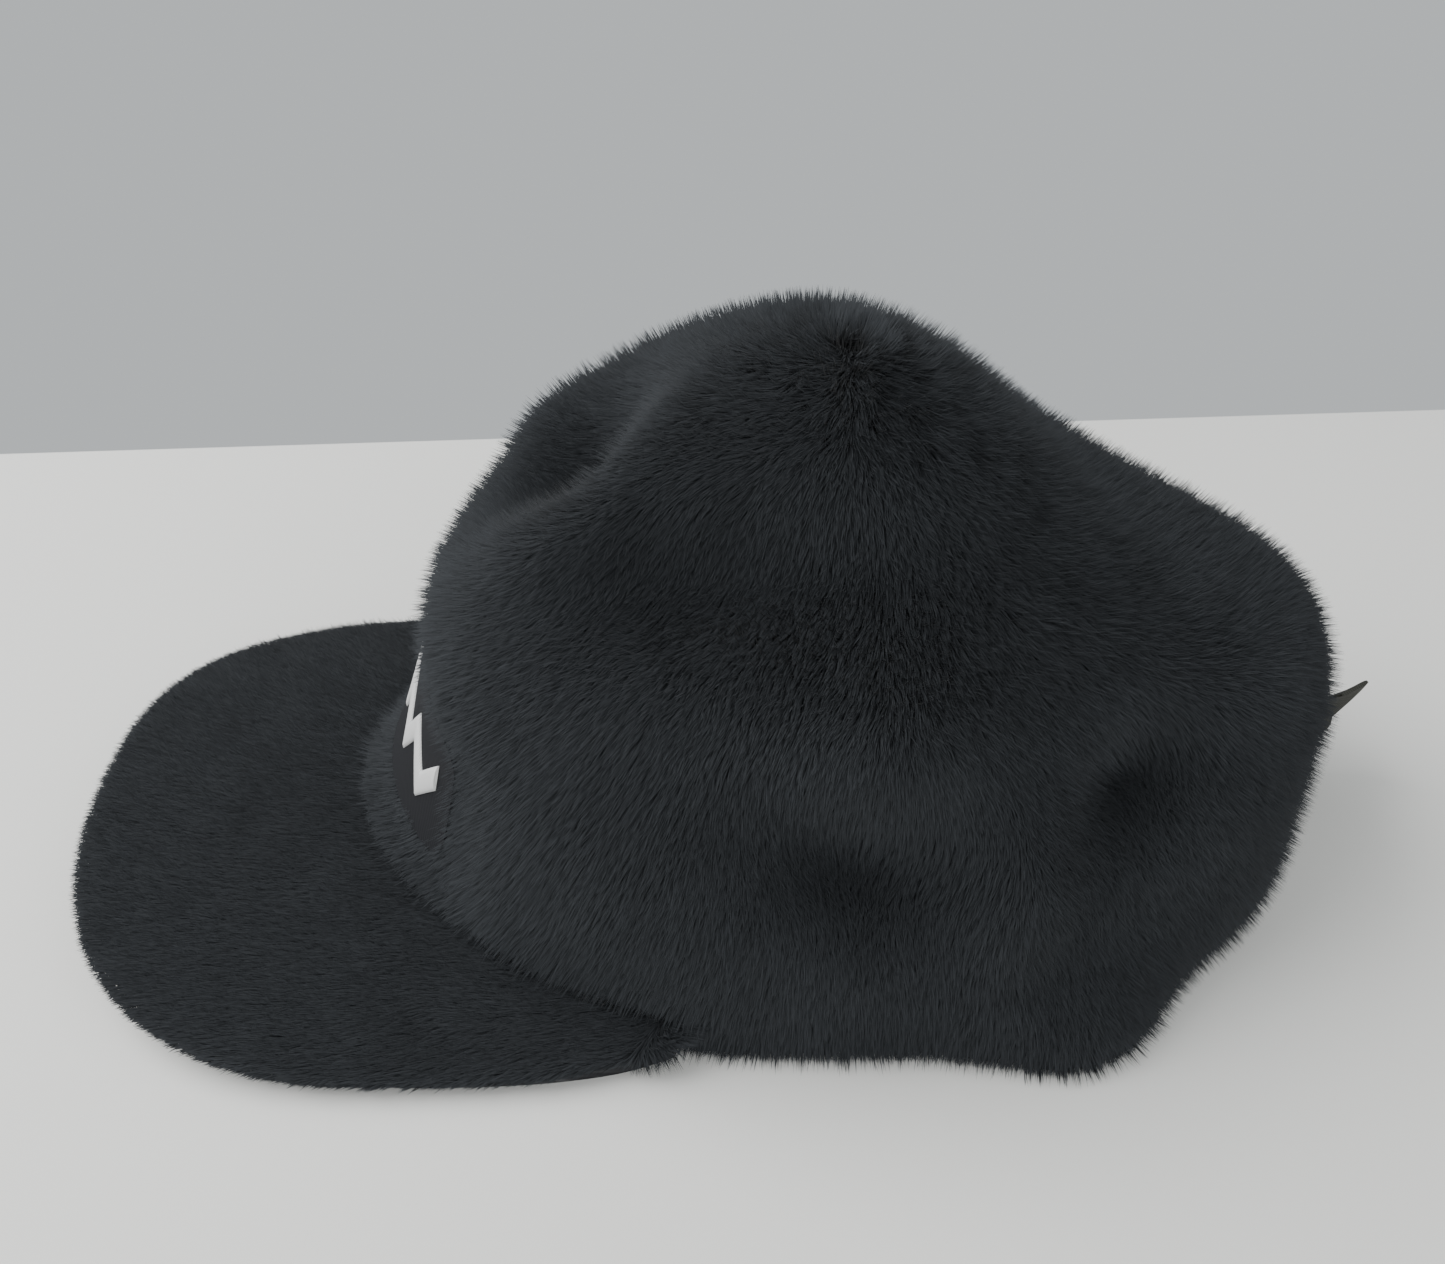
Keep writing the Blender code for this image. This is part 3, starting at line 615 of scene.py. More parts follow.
class Bench:
    """Lays nodes into one tree."""

    def __init__(self, tree):
        self.tree = tree

    def node(self, kind, settings=None, values=None, out=0):
        """Adds a node: first its settings, then the values or wires of its sockets. Returns one output."""
        made = self.tree.nodes.new(kind)
        for name, value in (settings or {}).items():
            setattr(made, name, value)
        for key, value in (values or {}).items():
            if isinstance(value, Wire):
                self.tree.links.new(value.socket, made.inputs[key])
            else:
                made.inputs[key].default_value = value
        return Wire(self, made.outputs[out])

    def math(self, operation, *items):
        return self.node("ShaderNodeMath", {"operation": operation}, dict(enumerate(items)))

    def vector(self, operation, *items, out=0):
        return self.node("ShaderNodeVectorMath", {"operation": operation}, dict(enumerate(items)), out)

    def clamped(self, value):
        return self.node("ShaderNodeClamp", None, {"Value": value})

    def between(self, factor, dark, light):
        """A colour between two, by factor."""
        values = {"Factor": factor, 6: (*dark, 1.0), 7: (*light, 1.0)}
        return self.node("ShaderNodeMix", {"data_type": "RGBA"}, values, 2)

    def noise(self, spot, often, detail=3.0, out="Fac"):
        """Noise at a spot, with about so many lumps to the metre."""
        values = {"Vector": spot, "Scale": often, "Detail": detail}
        return self.node("ShaderNodeTexNoise", None, values, out)


# The pile's node tree

# Strands to the square millimetre, and one strand's run along the cloth, rise off it and width
STRANDS_PER_MM2 = 11.0
STRAND_LENGTH = 3.9
STRAND_RISE = 2.7
STRAND_WIDTH = 0.34
# Strands gather in tufts: how far apart these are, and how much of the way a strand leans to its own
TUFT_SIZE = 1.6
TUFT_PULL = 0.4
ABOVE_GROUND = 0.4
# How much of its own facing a strand keeps. The rest is the cloth's, which shades the pile softly
OWN_NORMAL = 0.6

# What turns the nap aside, in broad waves and fine ruffles: lumps to the metre, detail and strength
NAP_TURNS = [(32.0, 2.0, 0.9), (210.0, 1.0, 0.9)]

# How strands differ: the least and the most of each measure, and the seed of its draw
Draw = namedtuple("Draw", "least most seed")
LENGTHS = Draw(0.7, 1.25, 2)
LIFTS = Draw(0.5, 1.3, 3)
PULLS = Draw(0.5, 1.2, 4)
TURNS = Draw(-0.8, 0.8, 5)
WIDTHS = Draw(0.7, 1.3, 6)
SHADES = Draw(0.0, 1.0, 7)
STRAYS = Draw(0.0, 1.0, 11)
# A strand past this draw is a stray, which is so much shorter, stands up more and gathers more
STRAY_FROM = 0.75
STRAY_SHORTER, STRAY_LIFTED, STRAY_PULLED = 0.55, 0.9, 0.4
# A strand's shade is partly its own and partly from patches: lumps to the metre, detail, least and strength
SHADE_OWN = 0.65
MOTTLE_OFTEN, MOTTLE_DETAIL, MOTTLE_LEAST, MOTTLE_SHARE = 70.0, 2.0, 0.3, 0.9

PILE_INPUTS = [
    ("Density", "NodeSocketFloat", STRANDS_PER_MM2 / MM**2),
    ("Length", "NodeSocketFloat", STRAND_LENGTH * MM),
    ("Rise", "NodeSocketFloat", STRAND_RISE * MM),
    ("Width", "NodeSocketFloat", STRAND_WIDTH * MM),
    ("Tuft Size", "NodeSocketFloat", TUFT_SIZE * MM),
    ("Tuft Pull", "NodeSocketFloat", TUFT_PULL),
    ("Seed", "NodeSocketInt", 1),
    ("Strand", "NodeSocketObject", None),
    ("Finish", "NodeSocketMaterial", None),
]

# What a seedbed or the tree notes on the strands, and the finished pile has no use for
SEED_NOTES = "root run lift pull wide out lay growth reach side".split()


def named(bench, name, kind="FLOAT_VECTOR"):
    return bench.node("GeometryNodeInputNamedAttribute", {"data_type": kind}, {"Name": name})


def noted(bench, strands, name, value, kind="FLOAT_VECTOR"):
    values = {"Geometry": strands, "Name": name, "Value": value}
    return bench.node("GeometryNodeStoreNamedAttribute", {"data_type": kind}, values)


def chance(bench, draw):
    limits = {2: draw.least, 3: draw.most, "Seed": draw.seed}
    return bench.node("FunctionNodeRandomValue", {"data_type": "FLOAT"}, limits, 1)


def off_normal(bench, vector, out):
    """What is left of a vector along the cloth."""
    return vector - out * bench.vector("DOT_PRODUCT", vector, out, out="Value")


def strand_measures(bench, given, root):
    """How one strand runs, lifts, gathers and spreads, and its shade."""
    out = bench.vector("NORMALIZE", named(bench, "out"))
    reach = named(bench, "reach", "FLOAT")
    lay = named(bench, "lay")
    for often, detail, strength in NAP_TURNS:
        lay = lay + (bench.noise(root, often, detail, "Color") - 0.5) * strength
    flat = bench.vector("NORMALIZE", off_normal(bench, bench.vector("NORMALIZE", lay), out))
    stray = bench.math("GREATER_THAN", chance(bench, STRAYS), STRAY_FROM)
    long = given["Length"] * reach * chance(bench, LENGTHS) * (1.0 - stray * STRAY_SHORTER)
    lift = given["Rise"] * reach * chance(bench, LIFTS) * (1.0 + stray * STRAY_LIFTED)
    values = {"Vector": root, "Scale": 1.0 / given["Tuft Size"]}
    tuft = bench.node("ShaderNodeTexVoronoi", None, values, "Position")
    gather = off_normal(bench, tuft - root, out)
    pull = given["Tuft Pull"] * chance(bench, PULLS) * (1.0 + stray * STRAY_PULLED)
    aside = bench.vector("CROSS_PRODUCT", flat, out)
    turn = chance(bench, TURNS)
    tilt = aside * bench.math("COSINE", turn) + out * bench.math("SINE", turn)
    wide = given["Width"] * 0.5 * chance(bench, WIDTHS)
    mottle = bench.noise(root, MOTTLE_OFTEN, MOTTLE_DETAIL) - MOTTLE_LEAST
    shade = bench.clamped(chance(bench, SHADES) * SHADE_OWN + mottle * MOTTLE_SHARE)
    return {"run": flat * long, "lift": out * lift, "pull": gather * pull, "wide": tilt * wide}, shade


def strand_spot(bench):
    """Where a point of a strand goes: off its root by its measures, and never into the table."""
    lean = named(bench, "run") + named(bench, "lift") + named(bench, "pull")
    spot = named(bench, "root") + lean * named(bench, "along", "FLOAT")
    spot = spot + named(bench, "wide") * named(bench, "side", "FLOAT")
    x, y, z = (bench.node("ShaderNodeSeparateXYZ", None, {0: spot}, axis) for axis in range(3))
    high = bench.math("MAXIMUM", z, ABOVE_GROUND * MM)
    return bench.node("ShaderNodeCombineXYZ", None, {0: x, 1: y, 2: high})


def pile_tree():
    """Sows strands on a seedbed. Each rises off its root, lies along the nap, and leans to its tuft."""
    tree = bpy.data.node_groups.new("pile", "GeometryNodeTree")
    tree.interface.new_socket(name="Geometry", in_out="INPUT", socket_type="NodeSocketGeometry")
    for name, kind, value in PILE_INPUTS:
        made = tree.interface.new_socket(name=name, in_out="INPUT", socket_type=kind)
        if value is not None:
            made.default_value = value
    tree.interface.new_socket(name="Geometry", in_out="OUTPUT", socket_type="NodeSocketGeometry")
    bench = Bench(tree)
    start = tree.nodes.new("NodeGroupInput")
    given = {socket.name: Wire(bench, socket) for socket in start.outputs if socket.name}

    density = given["Density"] * named(bench, "growth", "FLOAT")
    values = {"Mesh": given["Geometry"], "Density": density, "Seed": given["Seed"]}
    settings = {"distribute_method": "RANDOM"}
    strands = bench.node("GeometryNodeDistributePointsOnFaces", settings, values)
    root = bench.node("GeometryNodeInputPosition")
    measures, shade = strand_measures(bench, given, root)
    for name, value in {"root": root, **measures}.items():
        strands = noted(bench, strands, name, value)
    strands = noted(bench, strands, "shade", shade, "FLOAT")
    strand = bench.node("GeometryNodeObjectInfo", None, {"Object": given["Strand"]}, "Geometry")
    strands = bench.node("GeometryNodeInstanceOnPoints", None, {"Points": strands, "Instance": strand})
    strands = bench.node("GeometryNodeRealizeInstances", None, {"Geometry": strands})
    values = {"Geometry": strands, "Position": strand_spot(bench)}
    strands = bench.node("GeometryNodeSetPosition", None, values)
    values = {"Geometry": strands, "Material": given["Finish"]}
    strands = bench.node("GeometryNodeSetMaterial", None, values)
    end = tree.nodes.new("NodeGroupOutput")
    tree.links.new(strands.socket, end.inputs[0])
    return tree


# Materials

def finish_of(name, roughness, **fixed):
    """A new material, its bench, and its shader with what is the same all over set on it."""
    made = bpy.data.materials.new(name)
    made.use_nodes = True
    shader = made.node_tree.nodes["Principled BSDF"]
    shader.inputs["Roughness"].default_value = roughness
    for key, value in fixed.items():
        shader.inputs[key.replace("_", " ")].default_value = value
    return made, Bench(made.node_tree), shader


def dress_shader(bench, shader, colour, roughness=None, height=None, depth=None):
    """Gives a shader what changes over the surface. depth is the relief's."""
    links = bench.tree.links
    links.new(colour.socket, shader.inputs["Base Color"])
    if roughness is not None:
        links.new(roughness.socket, shader.inputs["Roughness"])
    if height is not None:
        values = {"Height": height, "Strength": 1.0, "Distance": depth * MM}
        bump = bench.node("ShaderNodeBump", None, values)
        links.new(bump.socket, shader.inputs["Normal"])


def own_map(bench):
    """The cloth's own map, in metres across and along it."""
    return bench.node("ShaderNodeUVMap", {"uv_map": "UVMap"})


def in_place(bench):
    return bench.node("ShaderNodeTexCoord", out="Object")


def ribs(bench, direction, often, wobble=0.0):
    """Ribs or threads across a cloth, 0 to 1."""
    settings = {"wave_type": "BANDS", "bands_direction": direction}
    values = {"Vector": own_map(bench), "Scale": often, "Distortion": wobble, "Detail": 1.0}
    return bench.node("ShaderNodeTexWave", settings, values, "Fac")


def weave(bench, shader, rib, lint, dark, light, rib_share, depth, rough=None):
    """Cloth: ribs in its colour and relief, and lint in its colour. rough is the least and lint's share."""
    colour = bench.between(bench.clamped(rib * rib_share + lint * (1.0 - rib_share)), dark, light)
    roughness = rough[0] + lint * rough[1] if rough else None
    dress_shader(bench, shader, colour, roughness, rib, depth)


# Lint, soil and moulded grain, finer than the threads: lumps to the metre
FINE = 2500.0
# Painted shade deep in the pile: a strand's colour at its root, as a part of the whole, and how much it
# gains to its tip
ROOT_PAINTED_SHADE, TIP_GAIN = 0.5, 0.62


def fur_finish():
    made, bench, shader = finish_of(
        "black_pile", 0.8, Specular_IOR_Level=0.1, Sheen_Weight=0.06, Sheen_Roughness=0.5
    )
    along = bench.node("ShaderNodeAttribute", {"attribute_name": "along"}, None, "Fac")
    shade = bench.node("ShaderNodeAttribute", {"attribute_name": "shade"}, None, "Fac")
    colour = bench.between(shade, (0.0278, 0.0304, 0.0336), (0.0412, 0.045, 0.0497))
    # Painted shade: each strand is darker toward its root, where the pile shades itself
    dress_shader(bench, shader, colour * (ROOT_PAINTED_SHADE + along * TIP_GAIN))
    return made


def backing_finish():
    made, bench, shader = finish_of("pile_backing", 0.9, Specular_IOR_Level=0.15)
    rib = ribs(bench, "X", 330.0) * ribs(bench, "Y", 420.0)
    patchy = bench.noise(own_map(bench), often=400.0)
    dark, light = (0.004, 0.004, 0.0045), (0.018, 0.018, 0.02)
    weave(bench, shader, rib, patchy, dark, light, rib_share=0.6, depth=0.25)
    return made


def twill_finish():
    made, bench, shader = finish_of("patch_twill", 0.85, Specular_IOR_Level=0.1)
    rib = ribs(bench, "DIAGONAL", 560.0, wobble=0.4)
    lint = bench.noise(own_map(bench), FINE, detail=2.0)
    dark, light = (0.013, 0.0135, 0.0155), (0.023, 0.0235, 0.026)
    weave(bench, shader, rib, lint, dark, light, rib_share=0.5, depth=0.04, rough=(0.75, 0.2))
    return made


def thread_finish():
    made, bench, shader = finish_of("white_thread", 0.45, Specular_IOR_Level=0.4, Sheen_Weight=0.2)
    thread = ribs(bench, "Y", 420.0, wobble=0.6)
    soil = bench.noise(own_map(bench), FINE)
    dark, light = (0.62, 0.62, 0.62), (0.93, 0.93, 0.92)
    weave(bench, shader, thread, soil, dark, light, rib_share=0.7, depth=0.15, rough=(0.38, 0.2))
    return made


def webbing_finish():
    made, bench, shader = finish_of("dark_webbing_weave", 0.75, Specular_IOR_Level=0.3)
    crossed = ribs(bench, "X", 190.0) * 0.6 + ribs(bench, "Y", 240.0) * 0.4
    lint = bench.noise(own_map(bench), FINE)
    dark, light = (0.010, 0.010, 0.007), (0.036, 0.036, 0.027)
    weave(bench, shader, crossed, lint, dark, light, rib_share=0.7, depth=0.3, rough=(0.65, 0.25))
    return made


def bill_under_finish():
    made, bench, shader = finish_of("bill_under_cloth", 0.85, Specular_IOR_Level=0.2, Sheen_Weight=0.1)
    rib = ribs(bench, "DIAGONAL", 230.0, wobble=0.3)
    lint = bench.noise(own_map(bench), FINE)
    dark, light = (0.008, 0.008, 0.009), (0.024, 0.024, 0.027)
    weave(bench, shader, rib, lint, dark, light, rib_share=0.5, depth=0.12, rough=(0.7, 0.25))
    return made


def plastic_finish():
    made, bench, shader = finish_of("slider_plastic", 0.4)
    grain = bench.noise(in_place(bench), FINE, detail=2.0)
    rub = bench.noise(in_place(bench), FINE, detail=4.0)
    colour = bench.between(bench.clamped(rub * 1.4 - 0.3), (0.008, 0.008, 0.008), (0.020, 0.020, 0.020))
    dress_shader(bench, shader, colour, 0.34 + rub * 0.2, grain, depth=0.05)
    return made


def table_finish():
    made, bench, shader = finish_of("pale_table", 0.7, Specular_IOR_Level=0.2)
    tone = bench.noise(in_place(bench), often=1.2, detail=2.0)
    grit = bench.noise(in_place(bench), often=380.0, detail=2.0)
    dark, light = (0.745, 0.74, 0.712), (0.79, 0.785, 0.757)
    colour = bench.between(bench.clamped(tone * 0.7 + grit * 0.3), dark, light)
    dress_shader(bench, shader, colour, 0.62 + grit * 0.15)
    return made


# Pieces

def settle(piece, finish, node):
    """Gives a finished piece its material, lets it ride on the root, and hides the part of the frame that
    it stands for.
    """
    piece.data.materials.clear()
    piece.data.materials.append(finish)
    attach(piece, "root")
    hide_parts(node)


def object_of(name, data):
    made = bpy.data.objects.new(name, data)
    bpy.context.scene.collection.objects.link(made)
    return made


def slab(name, columns, rows, place, size, crease=50.0):
    """A flat slab of cells, bent by place(s, t, level), with a UV map in metres of its own cloth."""
    body = bmesh.new()
    bmesh.ops.create_grid(body, x_segments=columns, y_segments=rows, size=0.5)
    lower = list(body.faces)
    raised = bmesh.ops.extrude_face_region(body, geom=lower, use_keep_orig=True)
    upper = {vert for face in raised["geom"] if isinstance(face, bmesh.types.BMFace) for vert in face.verts}
    for vert in upper:
        vert.co.z = 1.0
    bmesh.ops.recalc_face_normals(body, faces=body.faces)
    body.verts.index_update()
    flat = np.array([vert.co for vert in body.verts])
    s = np.clip(flat[:, 0] + 0.5, 0.0, 1.0)
    t = np.clip(flat[:, 1] + 0.5, 0.0, 1.0)
    bent = (place(s, t, flat[:, 2].round()) - [0.0, Y_MIDDLE, 0.0]) * MM
    cloth_map = body.loops.layers.uv.new("UVMap")
    for face in body.faces:
        for loop in face.loops:
            i = loop.vert.index
            loop[cloth_map].uv = (s[i] * size[0] * MM, t[i] * size[1] * MM)
    for vert, spot in zip(body.verts, bent):
        vert.co = spot
    if body.calc_volume(signed=True) < 0:
        bmesh.ops.reverse_faces(body, faces=body.faces)
    data = bpy.data.meshes.new(name)
    body.to_mesh(data)
    body.free()
    data.shade_smooth()
    data.set_sharp_from_angle(angle=math.radians(crease))
    return object_of(name, data)


def strand_shape():
    """One strand's outline: two corners at its root, and its tip."""
    along = [0.0, 0.0, 1.0]
    side = [-1.0, 1.0, 0.0]
    data = bpy.data.meshes.new("one_strand")
    data.from_pydata([(x, y, 0.0) for x, y in zip(side, along)], [], [(0, 1, 2)])
    data.attributes.new("along", "FLOAT", "POINT").data.foreach_set("value", along)
    data.attributes.new("side", "FLOAT", "POINT").data.foreach_set("value", side)
    data.shade_smooth()
    return object_of("one_strand", data)


Seeds = namedtuple("Seeds", "spot out lay growth reach")


# How high over the table or the bill a strand's tip keeps, how much of its rise counts for that, how
# steeply the nap may turn up, and in what rise it turns fully outward
TIP_ABOVE, RISE_COUNTS = 0.6, 0.8
STEEPEST, TURNS_WITHIN = 0.5, 0.6


def clear_of_ground(spot, out, lay, reach, ground):
    """Turns the nap outward where it would run into the table or the bill."""
    rise = out[:, 2] * STRAND_RISE * RISE_COUNTS
    least = (ground + TIP_ABOVE - spot[:, 2] - rise) / np.maximum(STRAND_LENGTH * reach, 1e-6)
    steep = np.clip(np.maximum(lay[:, 2], least), -1.0, STEEPEST)
    turned = np.clip((steep - lay[:, 2]) / TURNS_WITHIN, 0.0, 1.0)[:, None]
    level = unit(lay[:, :2] * (1.0 - turned) + unit(out[:, :2]) * turned)
    changed = np.column_stack([level * np.sqrt(1.0 - steep**2)[:, None], steep])
    return np.where(turned > 0, changed, lay)


def along_cloth(lay, out):
    return unit(lay - out * (out * lay).sum(1, keepdims=True))


# The nap runs down from a whorl on top of the crown and turns this much to one side. Nearer to the whorl
# than this it lies less and less along the cloth, down to this share
WHORL = (0.0, 0.03)
NAP_SWIRL = 14.0
WHORL_REACH, WHORL_LEAST = 0.3, 0.15
NAP_STEP = 0.02
# Where the patch covers the cloth, in half widths and half heights
BARE_WIDE, BARE_HIGH = 0.955, 0.935
# The share of their length that strands have beside the patch, and how far from it they grow to the whole
BY_PATCH, BY_PATCH_RUN = 0.75, 9.0
# How much shorter they are over the rear arch, how far up the panel, and from what rise of the arch
ARCH_SHORTER, ARCH_UP, ARCH_IN = 0.55, 0.16, 0.25
# How far inside its ends the bill counts as ground, how deep the crown's pile reaches into it, and how
# high over the ground the lowest roots are
BILL_ENDS_IN, BILL_DEEP, ROOTS_ABOVE = 2.0, 1.0, 0.3


def combed(chart, out):
    """The way that the crown's pile lies, down from the whorl and a little aside, and how much."""
    away = chart - WHORL
    lies = WHORL_LEAST + (1.0 - WHORL_LEAST) * eased(radius(away), 0.0, WHORL_REACH)
    away = unit(away)
    turn = math.radians(NAP_SWIRL)
    away = away * math.cos(turn) + np.stack([away[:, 1], -away[:, 0]], 1) * math.sin(turn)
    return along_cloth(ring_stack(chart) - ring_stack(chart - away * NAP_STEP), out), lies[:, None]


def crown_seeds(edges, arched=False):
    """Where and how the pile grows on a panel."""
    def place(s, t):
        chart = panel_chart(*edges, s, t)
        out = normals_of(pile, chart)
        spot = pile(chart) - out * CLOTH_UNDER
        across, high = patch_place(chart)
        bare = (np.abs(across) < BARE_WIDE) & (np.abs(high) < BARE_HIGH)
        by_bill = np.abs(angle_of(chart)) < BILL_HEM_ANGLE - BILL_ENDS_IN
        ground = np.where(by_bill, bill_top(spot[:, 0]) - BILL_DEEP, 0.0)
        growth = np.where(bare | (spot[:, 2] < ground + ROOTS_ABOVE), 0.0, 1.0)
        beside = np.maximum(np.abs(across) - 1.0, 0.0) * PATCH_HALF_WIDTH
        beyond = np.maximum(np.abs(high) - 1.0, 0.0) * PATCH_HALF_HEIGHT
        reach = BY_PATCH + (1.0 - BY_PATCH) * eased(np.hypot(beside, beyond), 0.0, BY_PATCH_RUN)
        if arched:
            _, arch = arch_turn(s)
            by_arch = eased(np.sin(arch), 0.0, ARCH_IN) * eased(t, ARCH_UP, 0.0)
            reach = reach * (1.0 - ARCH_SHORTER * by_arch)
        lay, lies = combed(chart, out)
        lay = clear_of_ground(spot, out, lay, reach, ground) * lies
        return Seeds(spot, out, lay, growth, reach)

    return place


# The bill's pile starts this share of the reach behind the root, which closes the seam. Past RIM_FROM it
# turns round the rim, by RIM_TURN in all
BILL_TUCK = 0.03
RIM_FROM, RIM_TURN = 0.94, 128.0
# Over these shares of the bill's half width the nap turns back over its open ends, and the strands grow
AT_ENDS = (0.93, 0.99)
ENDS_BACK, ENDS_LONGER = 2.2, 0.35
# How far the bill's nap leans outward, and how much more, less forward and down it leans round the rim
NAP_OUTWARD, RIM_OUTWARD, RIM_FORWARD_LESS, RIM_DOWN = 0.35, 0.4, 0.5, 0.5
# The share of their length that strands have at the root, and how much shorter they get over these
# shares of the reach: past the root, and again to the rim
ROOT_REACH, SHORTER = 1.15, 0.25
PAST_ROOT, TO_RIM = (0.0, 0.12), (0.85, 0.95)


def bill_seeds(columns):
    """The pile on the bill, brushed to the front, and round its rim."""
    above, _, edge = bill_edges(columns)

    def place(s, t):
        column = (s * columns).round().astype(int)
        part = np.minimum((t - BILL_TUCK) / (RIM_FROM - BILL_TUCK), 1.0)
        round_rim = np.clip((t - RIM_FROM) / (1.0 - RIM_FROM), 0.0, 1.0)[:, None]
        wrap = round_rim * math.radians(RIM_TURN)
        out_flat = unit(edge[column] - above[column])
        plan = above[column] * (1 - part[:, None]) + edge[column] * part[:, None]
        plan = plan - out_flat * drawn_in(part)
        x = plan[:, 0]
        zeros = np.zeros(len(x))
        ones = np.ones(len(x))
        slope = -2.0 * BILL_ARCH * x / BILL_HALF_WIDTH**2
        up = unit(np.column_stack([-slope, zeros, ones]))
        away = np.column_stack([out_flat, zeros])
        out = unit(up * np.cos(wrap) + away * np.sin(wrap))
        level = bill_mid(x) + BILL_CLOTH
        middle = np.column_stack([plan, level - BILL_RIM])
        spot = np.where(wrap > 0, middle + out * BILL_RIM, np.column_stack([plan, level]))
        at_end = eased(np.abs(2.0 * s - 1.0), *AT_ENDS)[:, None]
        forward = np.array([0.0, -1.0, 0.0]) * (1.0 - RIM_FORWARD_LESS * round_rim)
        lay = forward * (1.0 - ENDS_BACK * at_end) + away * (NAP_OUTWARD + RIM_OUTWARD * round_rim)
        lay = along_cloth(lay - np.array([0.0, 0.0, RIM_DOWN]) * round_rim, out)
        reach = ROOT_REACH - SHORTER * eased(t, *PAST_ROOT) - SHORTER * eased(t, *TO_RIM)
        reach = reach + ENDS_LONGER * at_end[:, 0]
        lay = clear_of_ground(spot, out, lay, reach, zeros)
        return Seeds(spot, out, lay, ones, reach)

    return place


def seedbed(columns, rows, place):
    """A sheet whose points say how the pile grows on it."""
    up, along = np.linspace(0, 1, rows + 1), np.linspace(0, 1, columns + 1)
    t, s = (grid.ravel() for grid in np.meshgrid(up, along, indexing="ij"))
    seeds = place(s, t)
    first = (np.arange(rows)[:, None] * (columns + 1) + np.arange(columns)).ravel()
    cells = np.stack([first, first + 1, first + columns + 2, first + columns + 1], 1)
    data = bpy.data.meshes.new("bed")
    data.from_pydata(((seeds.spot - [0.0, Y_MIDDLE, 0.0]) * MM).tolist(), [], cells.tolist())
    for key in ("out", "lay", "growth", "reach"):
        values = getattr(seeds, key)
        vector = values.ndim == 2
        made = data.attributes.new(key, "FLOAT_VECTOR" if vector else "FLOAT", "POINT")
        made.data.foreach_set("vector" if vector else "value", values.ravel())
    return object_of("bed", data)


def read(rows, key, kind=np.float32, width=1):
    """One property of a mesh's vertices, loops or attribute as an array."""
    values = np.empty(len(rows) * width, kind)
    rows.foreach_get(key, values)
    return values


# The bake map lays each strand's shade across and its length up, inside these margins, with its root's
# two corners leaning apart
BAKE_SIDE, BAKE_END, BAKE_LEAN = 0.01, 0.02, 0.004


def grown(name, bed, tree, strand, finish, seed, **sizes):
    """Runs the pile's tree on a seedbed and keeps the strands as a plain mesh, in the seedbed's place."""
    grow = bed.modifiers.new("pile", "NODES")
    grow.node_group = tree
    given = {"Seed": seed, "Strand": strand, "Finish": finish, **sizes}
    for socket in tree.interface.items_tree:
        if socket.in_out == "INPUT" and socket.name in given:
            grow[socket.identifier] = given[socket.name]
    bed.update_tag()
    graph = bpy.context.evaluated_depsgraph_get()
    data = bpy.data.meshes.new_from_object(bed.evaluated_get(graph))
    bed.modifiers.clear()
    bpy.data.objects.remove(bed, do_unlink=True)
    data.name = name
    out = read(data.attributes["out"].data, "vector", width=3).reshape(-1, 3)
    for key in [item.name for item in data.attributes]:
        if key in SEED_NOTES:
            data.attributes.remove(data.attributes[key])
    corner = read(data.loops, "vertex_index", np.int32)
    shade = read(data.attributes["shade"].data, "value")[corner]
    along = read(data.attributes["along"].data, "value")[corner]
    lean = np.array([-BAKE_LEAN, BAKE_LEAN, 0.0])[corner % 3]
    across = BAKE_SIDE + (1.0 - 2.0 * BAKE_SIDE) * shade + lean
    spread = np.stack([across, BAKE_END + (1.0 - 2.0 * BAKE_END) * along], 1)
    bake_map = data.uv_layers.new(name="OFBake")
    bake_map.data.foreach_set("uv", spread.astype(np.float32).ravel())
    data.shade_smooth()
    own = read(data.vertex_normals, "vector", width=3).reshape(-1, 3)
    soft = unit(out * (1.0 - OWN_NORMAL) + own * OWN_NORMAL)
    data.normals_split_custom_set_from_vertices(soft.tolist())
    return object_of(name, data)


